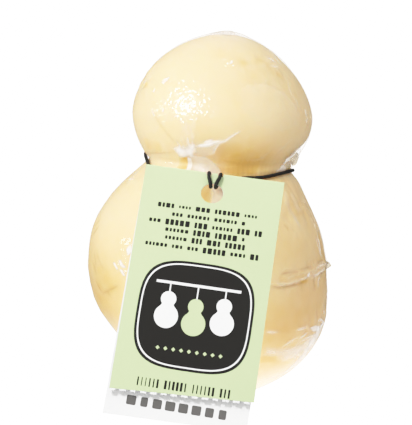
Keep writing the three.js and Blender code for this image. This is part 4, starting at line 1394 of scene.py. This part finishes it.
def braid_tree(material):
    """Strands that wind both ways round a core, each over one and under the next."""
    tree, sizes = new_tree("braided cord", {
        "Strands": "NodeSocketInt", "Pitch": "NodeSocketFloat", "Winding Radius": "NodeSocketFloat",
        "Strand Radius": "NodeSocketFloat", "Weave": "NodeSocketFloat", "Step": "NodeSocketFloat",
    })

    def math_node(operation, first, second=0.0):
        return calculate(tree, operation, first, second)

    line = put(tree, "GeometryNodeMeshToCurve", {"Mesh": sizes["Geometry"]})
    fine = put(tree, "GeometryNodeResampleCurve", {
        "Curve": line.outputs[0], "Length": sizes["Step"],
    }, mode="LENGTH")
    copies = put(tree, "GeometryNodeDuplicateElements", {
        "Geometry": fine.outputs[0], "Amount": sizes["Strands"],
    }, domain="SPLINE")
    index = copies.outputs["Duplicate Index"]
    odd = math_node("MODULO", index, 2.0)
    hand = math_node("SUBTRACT", math_node("MULTIPLY", odd, 2.0), 1.0)
    pair = math_node("FLOOR", math_node("DIVIDE", index, 2.0))
    start = math_node("DIVIDE", math_node("MULTIPLY", pair, 4 * math.pi), sizes["Strands"])
    length = put(tree, "GeometryNodeSplineParameter").outputs["Length"]
    wound = math_node("DIVIDE", math_node("MULTIPLY", length, 2 * math.pi), sizes["Pitch"])
    angle = math_node("ADD", math_node("MULTIPLY", wound, hand), start)
    over = math_node("COSINE", math_node("MULTIPLY", wound, math_node("DIVIDE", sizes["Strands"], 2.0)))
    lift = math_node("MULTIPLY", math_node("MULTIPLY", over, hand), sizes["Weave"])
    radius = math_node("ADD", sizes["Winding Radius"], lift)
    normal = put(tree, "GeometryNodeInputNormal").outputs[0]
    tangent = put(tree, "GeometryNodeInputTangent").outputs[0]
    side = put(tree, "ShaderNodeVectorMath", {0: tangent, 1: normal}, operation="CROSS_PRODUCT").outputs[0]

    def scaled(vector, amount):
        return put(tree, "ShaderNodeVectorMath", {0: vector, "Scale": amount}, operation="SCALE").outputs[0]

    out = scaled(normal, math_node("MULTIPLY", math_node("COSINE", angle), radius))
    along_side = scaled(side, math_node("MULTIPLY", math_node("SINE", angle), radius))
    offset = put(tree, "ShaderNodeVectorMath", {0: out, 1: along_side}, operation="ADD").outputs[0]
    wound_line = put(tree, "GeometryNodeSetPosition", {
        "Geometry": copies.outputs["Geometry"], "Offset": offset,
    })

    def swept(curve, sides, size):
        profile = put(tree, "GeometryNodeCurvePrimitiveCircle", {"Resolution": sides, "Radius": size})
        return put(tree, "GeometryNodeCurveToMesh", {
            "Curve": curve.outputs[0], "Profile Curve": profile.outputs[0],
        }).outputs[0]

    joined = put(tree, "GeometryNodeJoinGeometry")
    tree.links.new(swept(wound_line, STRAND_SIDES, sizes["Strand Radius"]), joined.inputs[0])
    tree.links.new(swept(fine, CORE_SIDES, sizes["Winding Radius"]), joined.inputs[0])
    soft = put(tree, "GeometryNodeSetShadeSmooth", {"Geometry": joined.outputs[0]})
    end_tree(tree, soft.outputs[0], material)
    return tree


def make_cord():
    line = cord_line()
    count = len(line)
    mesh = bpy.data.meshes.new("cord_way")
    mesh.from_pydata([tuple(point) for point in line], [(i, (i + 1) % count) for i in range(count)], [])
    length = np.linalg.norm(np.roll(line, -1, axis=0) - line, axis=1).sum()
    turns = round(length / BRAID_PITCH)
    return grown("braided_cord", mesh, braid_tree(cord_material()), {
        "Strands": STRANDS,
        "Pitch": length / turns,
        "Winding Radius": CORD_RADIUS - STRAND_RADIUS - STRAND_WEAVE,
        "Strand Radius": STRAND_RADIUS,
        "Weave": STRAND_WEAVE,
        "Step": BRAID_STEP,
    })


# Card

PAPER = (0.865, 0.865, 0.86, 1)
PALE_GREEN = (0.505, 0.615, 0.335, 1)
INK = (0.017, 0.016, 0.0145, 1)
GREY_INK = (0.11, 0.105, 0.10, 1)
# Fibres and clouds of paper: their grain, the range of their sum, how dark the darkest is, and the relief.
PAPER_FIBRE = dict(scale=1400.0, detail=4.0, roughness=0.65)
PAPER_CLOUD = dict(scale=90.0, detail=3.0)
PAPER_RANGE = (0.6, 1.4)
FIBRE_SHADE = 0.95
PAPER_RELIEF = 0.04 * MM


def paper_material(name, color, roughness=0.6, fibre_strength=0.2):
    material, tree = new_material(name)
    place = object_place(tree)
    fibre = grain(tree, place, **PAPER_FIBRE)
    cloud = grain(tree, place, **PAPER_CLOUD)
    tone = ramp(tree, calculate(tree, "ADD", fibre, cloud), *PAPER_RANGE, 0, 1)
    dark = tuple(FIBRE_SHADE * part for part in color[:3]) + (1,)
    shader = put(tree, "ShaderNodeBsdfPrincipled", {
        "Base Color": mixed_color(tree, tone, dark, color),
        "Roughness": roughness, "Specular IOR Level": 0.2,
        "Normal": embossed(tree, fibre, fibre_strength, PAPER_RELIEF),
    })
    surface(tree, shader)
    return material


def arc(middle_x, middle_y, radius_x, radius_y, start, end, steps):
    return [
        (middle_x + radius_x * math.cos(start + (end - start) * i / steps),
         middle_y + radius_y * math.sin(start + (end - start) * i / steps))
        for i in range(steps + 1)
    ]


def panel_outline(length, out_of_square):
    """Outline of one panel, across and up from the fold, with the two notches that the cord presses in."""
    half = CARD_WIDTH / 2
    outline = [(-half, 0), (-half, -length - out_of_square), (half, -length + out_of_square), (half, 0)]
    reach = math.asin(-NOTCH["down"] / NOTCH["radius"])
    for side in (1, -1):
        outline += arc(side * NOTCH["across"], -NOTCH["down"], NOTCH["radius"], NOTCH["radius"],
                       -reach, -math.pi + reach, NOTCH_STEPS)
    return outline


def hole_outline():
    half_width, half_height = HOLE["width"] / 2, HOLE["height"] / 2
    return arc(0, -HOLE["drop"], half_width, half_height, 0, 2 * math.pi, HOLE_STEPS)[:-1]


def flat_shape(outlines, height):
    """Points and triangles that fill an outline, leaving out the holes that follow it."""
    rings = [[Vector((x, y, height)) for x, y in outline] for outline in outlines]
    points = [point for ring in rings for point in ring]
    faces = []
    for face in tessellate_polygon(rings):
        a, b, c = (points[i] for i in face)
        faces.append(face if (b - a).cross(c - a).z > 0 else tuple(reversed(face)))
    return points, faces


def slab(outlines, top, bottom):
    """Points and faces of a closed sheet with the outline and its holes."""
    points, faces = flat_shape(outlines, top)
    count = len(points)
    points = points + [Vector((point.x, point.y, bottom)) for point in points]
    faces = faces + [tuple(i + count for i in reversed(face)) for face in faces]
    start = 0
    for outline in outlines:
        size = len(outline)
        area = sum(
            outline[i][0] * outline[(i + 1) % size][1] - outline[(i + 1) % size][0] * outline[i][1]
            for i in range(size)
        )
        forward = (area > 0) == (outline is outlines[0])
        for i in range(size):
            a, b = start + i, start + (i + 1) % size
            faces.append((a + count, b + count, b, a) if forward else (b + count, a + count, a, b))
        start += size
    return points, faces


def fold_strips(inner, outer):
    """The rounded fold, in three stretches between the notches, as points and faces."""
    half = CARD_WIDTH / 2
    near, far = NOTCH["across"] - FOLD_CUT, NOTCH["across"] + FOLD_CUT
    turns = [i * math.pi / FOLD_STEPS for i in range(FOLD_STEPS + 1)]
    points, faces = [], []
    for start, end in ((-half, -far), (-near, near), (far, half)):
        base = len(points)
        for x, radius in itertools.product((start, end), (inner, outer)):
            for turn in turns:
                points.append(Vector((x, radius * math.sin(turn), -FOLD_RADIUS + radius * math.cos(turn))))
        inside, outside, inside_end, outside_end = (base + i * len(turns) for i in range(4))
        for i in range(FOLD_STEPS):
            faces.append((outside + i, outside_end + i, outside_end + i + 1, outside + i + 1))
            faces.append((inside + i + 1, inside_end + i + 1, inside_end + i, inside + i))
            faces.append((inside + i, outside + i, outside + i + 1, inside + i + 1))
            faces.append((inside_end + i + 1, outside_end + i + 1, outside_end + i, inside_end + i))
        for i, flip in ((0, False), (FOLD_STEPS, True)):
            face = (inside + i, inside_end + i, outside_end + i, outside + i)
            faces.append(tuple(reversed(face)) if flip else face)
    return points, faces


# The back panel opens a little from the front one and hangs a little askew.
BACK_PLACE = (
    Matrix.Translation((0, 0, -CARD_THICKNESS - FOLD_GAP))
    @ Matrix.Rotation(BACK_OPENING, 4, "X")
    @ Matrix.Rotation(-BACK_SKEW, 4, "Z")
)
# Turns a flat sheet with its face up into the card's own standing plane, then puts it on the cord.
SHEET_TO_CARD = CARD_PLACE @ Matrix.Rotation(math.pi / 2, 4, "X")


def joined(parts):
    """One list of points and faces from several, each with the matrix that places it."""
    points, faces = [], []
    for (part_points, part_faces), matrix in parts:
        base = len(points)
        points += [matrix @ Vector(point) for point in part_points]
        faces += [tuple(i + base for i in face) for face in part_faces]
    return points, faces


def card_mesh(name, parts, material):
    points, faces = joined([(part, SHEET_TO_CARD @ matrix) for part, matrix in parts])
    return mesh_from(name, points, faces, material, smooth=False)


def make_card(paper, green):
    """White card, and the green that covers its outside."""
    front = [panel_outline(CARD_FRONT - PERFORATION["depth"], FRONT_OUT_OF_SQUARE), hole_outline()]
    back = [panel_outline(CARD_BACK, BACK_OUT_OF_SQUARE), hole_outline()]
    here = Matrix.Identity(4)
    card = add_object("card", card_mesh("card", [
        (slab(front, 0, -CARD_THICKNESS), here),
        (slab(back, 0, -CARD_THICKNESS), BACK_PLACE),
        (fold_strips(FOLD_GAP / 2, FOLD_RADIUS), here),
    ], paper))
    back_points, back_faces = flat_shape(back, -CARD_THICKNESS - GREEN_LAYER)
    cover = add_object("card_green", card_mesh("card_green", [
        (flat_shape(front, GREEN_LAYER), here),
        (fold_strips(FOLD_RADIUS - GREEN_LAYER / 2, FOLD_RADIUS + GREEN_LAYER), here),
        ((back_points, [tuple(reversed(face)) for face in back_faces]), BACK_PLACE),
    ], green))
    return [card, cover]


# Torn nibs: points along, down and through each one, its smallest and largest share of the full size, and
# how far its points stray. All three go along the edge, down from it and out of the card.
NIB_POINTS = (7, 3, 2)
NIB_SMALLEST = (0.8, 0.75, 0.9)
NIB_LARGEST = (1.12, 1.25, 1.0)
RAGGED = (0.05 * MM, 0.09 * MM, 0.03 * MM)


def nib_tree(material):
    """Torn nibs at equal steps along an edge, each a little different."""
    tree, sizes = new_tree("perforated edge", {
        "Count": "NodeSocketInt", "Width": "NodeSocketFloat", "Depth": "NodeSocketFloat",
        "Thickness": "NodeSocketFloat", "Seed": "NodeSocketInt",
    })
    line = put(tree, "GeometryNodeMeshToCurve", {"Mesh": sizes["Geometry"]})
    steps = put(tree, "GeometryNodeResampleCurve", {
        "Curve": line.outputs[0], "Count": sizes["Count"],
    }, mode="COUNT")
    points = put(tree, "GeometryNodeCurveToPoints", {"Curve": steps.outputs[0]}, mode="EVALUATED")
    size = put(tree, "ShaderNodeCombineXYZ", {
        "X": sizes["Width"], "Y": sizes["Depth"], "Z": sizes["Thickness"],
    })
    along, down, through = NIB_POINTS
    nib = put(tree, "GeometryNodeMeshCube", {
        "Size": size.outputs[0], "Vertices X": along, "Vertices Y": down, "Vertices Z": through,
    })
    change = put(tree, "FunctionNodeRandomValue", {
        "Min": NIB_SMALLEST, "Max": NIB_LARGEST, "Seed": sizes["Seed"],
    }, data_type="FLOAT_VECTOR")
    nibs = put(tree, "GeometryNodeInstanceOnPoints", {
        "Points": points.outputs[0], "Instance": nib.outputs[0], "Scale": change.outputs[0],
    })
    real = put(tree, "GeometryNodeRealizeInstances", {"Geometry": nibs.outputs[0]})
    ragged = put(tree, "FunctionNodeRandomValue", {
        "Min": tuple(-part for part in RAGGED), "Max": RAGGED, "Seed": sizes["Seed"],
    }, data_type="FLOAT_VECTOR")
    torn = put(tree, "GeometryNodeSetPosition", {"Geometry": real.outputs[0], "Offset": ragged.outputs[0]})
    end_tree(tree, torn.outputs[0], material)
    return tree


def make_nibs(paper):
    teeth, depth = PERFORATION["teeth"], PERFORATION["depth"]
    pitch = CARD_WIDTH / teeth
    half = CARD_WIDTH / 2

    def edge_point(across):
        slope = FRONT_OUT_OF_SQUARE / half
        return (across, -CARD_FRONT + slope * across + depth / 2, -CARD_THICKNESS / 2)

    first = -half + PERFORATION["land"] * pitch / 2
    mesh = bpy.data.meshes.new("torn_edge")
    mesh.from_pydata([edge_point(first), edge_point(first + (teeth - 1) * pitch)], [(0, 1)], [])
    nibs = grown("card_nibs", mesh, nib_tree(paper), {
        "Count": teeth, "Width": PERFORATION["land"] * pitch, "Depth": depth * PERFORATION["overlap"],
        "Thickness": CARD_THICKNESS * PERFORATION["thinner"], "Seed": PERFORATION["seed"],
    })
    nibs.data.transform(SHEET_TO_CARD)
    return nibs


# Print: rows of plain blocks, and a dark panel with three small cheeses that hang on a rail

INK_HEIGHT = 0.024 * MM
PANEL_INK_HEIGHT = 1.7 * INK_HEIGHT
PRINT_SEED = 7

# Rows of small print: distance below the fold, left and right end, block height, all in millimetres.
SMALL_ROWS = [
    (11.2, -15.4, 15.9, 1.4), (13.65, -10.8, 11.3, 1.75), (16.1, -17.3, 17.4, 1.75),
    (18.4, -12.1, 12.5, 1.75), (20.75, -11.8, 12.5, 1.7), (23.2, -17.3, 17.5, 1.75),
]
# Blocks of the small print, in millimetres, in words of a few blocks. Some words are bold, and the others
# are lower and narrower.
BLOCK = dict(
    narrow=0.7, wide=1.35, gap=0.38, word_gap=1.1, shortest=3, longest=6, corner=0.25,
    bold_share=0.5, low=0.62, slim=0.75,
)
# Rows of blocks at equal steps, in millimetres, and which of the steps are left out.
THIN_ROW = dict(
    first=-13.0, step=1.15, down=63.4, count=24, left_out=(6, 13, 20), widths=(0.25, 0.7), height=2.5,
    corner=0.12,
)
STRIP_ROW = dict(
    first=-13.3, step=3.8, down=69.2, count=8, left_out=(), widths=(2.0, 3.0), height=2.7, corner=0.4,
)
CORNER_POINTS = 3

# The dark panel, in millimetres: its middle and half sizes, how square it is and its steps, and the ring
# inside its edge as shares of the half sizes. Then the rail, the strings, the cheeses and the diamonds,
# from its middle.
BADGE = dict(across=0.3, down=42.9, half_width=17.0, half_height=15.9, power=3.4, steps=120)
BADGE_RING = [(0.955, 0.952), (0.93, 0.926)]
RAIL = dict(half=12.5, low=8.6, high=9.4)
STRING = dict(half=0.2, sunk=0.3)
SMALL_CHEESE = dict(belly=(4.2, -9.2), head=(2.7, -3.2), join=2.6, raised=0.5, scale=0.84, steps=40)
HANGING = [(-8.2, 6.4, "white"), (0, 5.2, "green"), (8.2, 6.4, "white")]
DIAMONDS = dict(places=range(-4, 5), step=2.3, up=-10.2, half=0.6)


def row_blocks(row, draw):
    """Blocks of one row, in words of a few blocks: middle, width and height of each, in millimetres."""
    down, left, right, height = row
    blocks = []
    across = left
    while across < right - BLOCK["narrow"]:
        bold = draw.random() < BLOCK["bold_share"]
        tall = height if bold else BLOCK["low"] * height
        for _ in range(draw.randint(BLOCK["shortest"], BLOCK["longest"])):
            width = draw.uniform(BLOCK["narrow"], BLOCK["wide"]) * (1 if bold else BLOCK["slim"])
            if across + width > right:
                break
            blocks.append((across + width / 2, -down, width, tall))
            across += width + BLOCK["gap"]
        across += BLOCK["word_gap"]
    return blocks


def even_blocks(row, draw):
    """Blocks at equal steps, each of another width: middle, width and height of each, in millimetres."""
    return [
        (row["first"] + row["step"] * i, -row["down"], draw.uniform(*row["widths"]), row["height"])
        for i in range(row["count"])
        if i not in row["left_out"]
    ]


def block_tree(material):
    """A rounded block on each point, of the size that the point carries."""
    tree, sizes = new_tree("print blocks", {"Corner": "NodeSocketFloat", "Corner Points": "NodeSocketInt"})
    unit = put(tree, "GeometryNodeCurvePrimitiveQuadrilateral", {"Width": 1.0, "Height": 1.0})
    size = put(tree, "GeometryNodeInputNamedAttribute", {"Name": "block_size"}, data_type="FLOAT_VECTOR")
    points = put(tree, "GeometryNodeMeshToPoints", {"Mesh": sizes["Geometry"]})
    blocks = put(tree, "GeometryNodeInstanceOnPoints", {
        "Points": points.outputs[0], "Instance": unit.outputs[0], "Scale": size.outputs[0],
    })
    real = put(tree, "GeometryNodeRealizeInstances", {"Geometry": blocks.outputs[0]})
    rounded = put(tree, "GeometryNodeFilletCurve", {
        "Curve": real.outputs[0], "Radius": sizes["Corner"], "Limit Radius": True,
        "Count": sizes["Corner Points"],
    }, mode="POLY")
    filled = put(tree, "GeometryNodeFillCurve", {"Curve": rounded.outputs[0]})
    end_tree(tree, filled.outputs[0], material)
    return tree


def block_rows(name, blocks, corner, material, place):
    """A piece of print made of blocks, in millimetres on a sheet, laid on the card."""
    mesh = bpy.data.meshes.new(name)
    mesh.from_pydata([(x * MM, y * MM, 0) for x, y, _, _ in blocks], [], [])
    attribute = mesh.attributes.new("block_size", "FLOAT_VECTOR", "POINT")
    attribute.data.foreach_set("vector", [part for _, _, w, h in blocks for part in (w * MM, h * MM, 1)])
    print_piece = grown(name, mesh, block_tree(material), {
        "Corner": corner * MM, "Corner Points": CORNER_POINTS,
    })
    print_piece.data.transform(SHEET_TO_CARD @ place)
    return print_piece


def badge_outline(wide_share=1.0, tall_share=1.0):
    """Outline of a square with full round corners and bowed sides."""
    half_width = wide_share * BADGE["half_width"] * MM
    half_height = tall_share * BADGE["half_height"] * MM
    outline = []
    for i in range(BADGE["steps"]):
        turn = 2 * math.pi * i / BADGE["steps"]
        c, s = math.cos(turn), math.sin(turn)
        x = half_width * math.copysign(abs(c) ** (2 / BADGE["power"]), c)
        y = half_height * math.copysign(abs(s) ** (2 / BADGE["power"]), s)
        outline.append((x, y))
    return outline


def small_cheese(across, up):
    """Outline of a small cheese with a belly, a waist and a head that hangs from a place in millimetres."""
    belly, head, join = SMALL_CHEESE["belly"], SMALL_CHEESE["head"], SMALL_CHEESE["join"]
    low, high = belly[1] - belly[0], head[1] + head[0]
    steps, scale = SMALL_CHEESE["steps"], SMALL_CHEESE["scale"] * MM
    right = []
    for i in range(steps + 1):
        level = low + (high - low) * (0.5 - 0.5 * math.cos(math.pi * i / steps))
        lobes = [max(radius**2 - (level - middle) ** 2, 0) ** 0.5 for radius, middle in (belly, head)]
        right.append((sum(lobe**join for lobe in lobes) ** (1 / join), level))
    left = [(-width, level) for width, level in reversed(right)]
    middle, top = across * MM, up * MM + scale * SMALL_CHEESE["raised"]
    return [(middle + scale * x, top + scale * y) for x, y in right + left[1:-1]]


def box_outline(left, low, right, high):
    corners = [(left, low), (right, low), (right, high), (left, high)]
    return [(x * MM, y * MM) for x, y in corners]


def diamond_outline(across, up, half):
    corners = [(across - half, up), (across, up - half), (across + half, up), (across, up + half)]
    return [(x * MM, y * MM) for x, y in corners]


def badge_shapes():
    """What is printed on the dark panel in white and in green, each shape an outline with its holes."""
    ring = [badge_outline(*shares) for shares in BADGE_RING]
    rail = box_outline(-RAIL["half"], RAIL["low"], RAIL["half"], RAIL["high"])
    shapes = {"white": [ring, [rail]], "green": []}
    for across, top, color in HANGING:
        left, right = across - STRING["half"], across + STRING["half"]
        shapes[color].append([small_cheese(across, top)])
        shapes["white"].append([box_outline(left, top - STRING["sunk"], right, RAIL["low"])])
    for place in DIAMONDS["places"]:
        across = place * DIAMONDS["step"]
        shapes["green"].append([diamond_outline(across, DIAMONDS["up"], DIAMONDS["half"])])
    return shapes


def make_print():
    ink = paper_material("black_ink", INK, roughness=0.5, fibre_strength=0.1)
    grey = paper_material("grey_ink", GREY_INK, roughness=0.55, fibre_strength=0.1)
    white = paper_material("white_print", PAPER)
    pale = paper_material("pale_green_print", PALE_GREEN)
    draw = random.Random(PRINT_SEED)
    on_front = Matrix.Translation((0, 0, INK_HEIGHT))
    on_back = BACK_PLACE @ on_front
    small = [block for row in SMALL_ROWS for block in row_blocks(row, draw)]
    pieces = [
        block_rows("print_rows", small, BLOCK["corner"], ink, on_front),
        block_rows("print_thin_row", even_blocks(THIN_ROW, draw), THIN_ROW["corner"], ink, on_front),
        block_rows("print_strip_row", even_blocks(STRIP_ROW, draw), STRIP_ROW["corner"], grey, on_back),
    ]
    middle = Matrix.Translation((BADGE["across"] * MM, -BADGE["down"] * MM, 0))
    on_panel = Matrix.Translation((0, 0, PANEL_INK_HEIGHT))
    shapes = badge_shapes()
    for name, outlines, height, material in (
        ("print_panel", [[badge_outline()]], on_front, ink),
        ("print_white", shapes["white"], on_panel, white),
        ("print_green", shapes["green"], on_panel, pale),
    ):
        parts = [(flat_shape(outline, 0), middle @ height) for outline in outlines]
        pieces.append(add_object(name, card_mesh(name, parts, material)))
    return pieces


# Everything together

tone_picture()
make_camera()
white_world()
floor = make_floor()
lamps = {name: soft_light(name, **light) for name, light in LIGHTS.items()}

film = film_material("clear_film", FILM_SHADE)
folds = film_material("clear_film_folds", FOLD_SHADE)
bubble = film_material("clear_film_bubble", BUBBLE_SHADE)
paper = paper_material("white_card", PAPER)
green = paper_material("green_card", PALE_GREEN)
cheese = make_cheese()
films = make_film(film) + make_folds(folds) + [make_bubble(name, bubble) for name in BUBBLES]
head_film = films[0]
wrapped = [cheese] + films
cord = make_cord()
card = make_card(paper, green) + [make_nibs(paper)] + make_print()

# The key light shines past the card, which has a key light of its own from higher up. Only the film is
# lit from low on the right, and a little light from below reaches only the cheese and the front of the
# head's film.
light_only(lamps["key"], wrapped + [cord, floor], wrapped + [cord])
light_only(lamps["card_key"], card)
light_only(lamps["film_fill"], films, [cheese])
light_only(lamps["neck_fill"], [cheese, head_film], [head_film])

for piece in wrapped + [cord] + card:
    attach(piece, "root")
for piece in wrapped:
    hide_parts("wrapped_cheese")
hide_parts("neck_cord")
for piece in card:
    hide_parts("hang_tag")
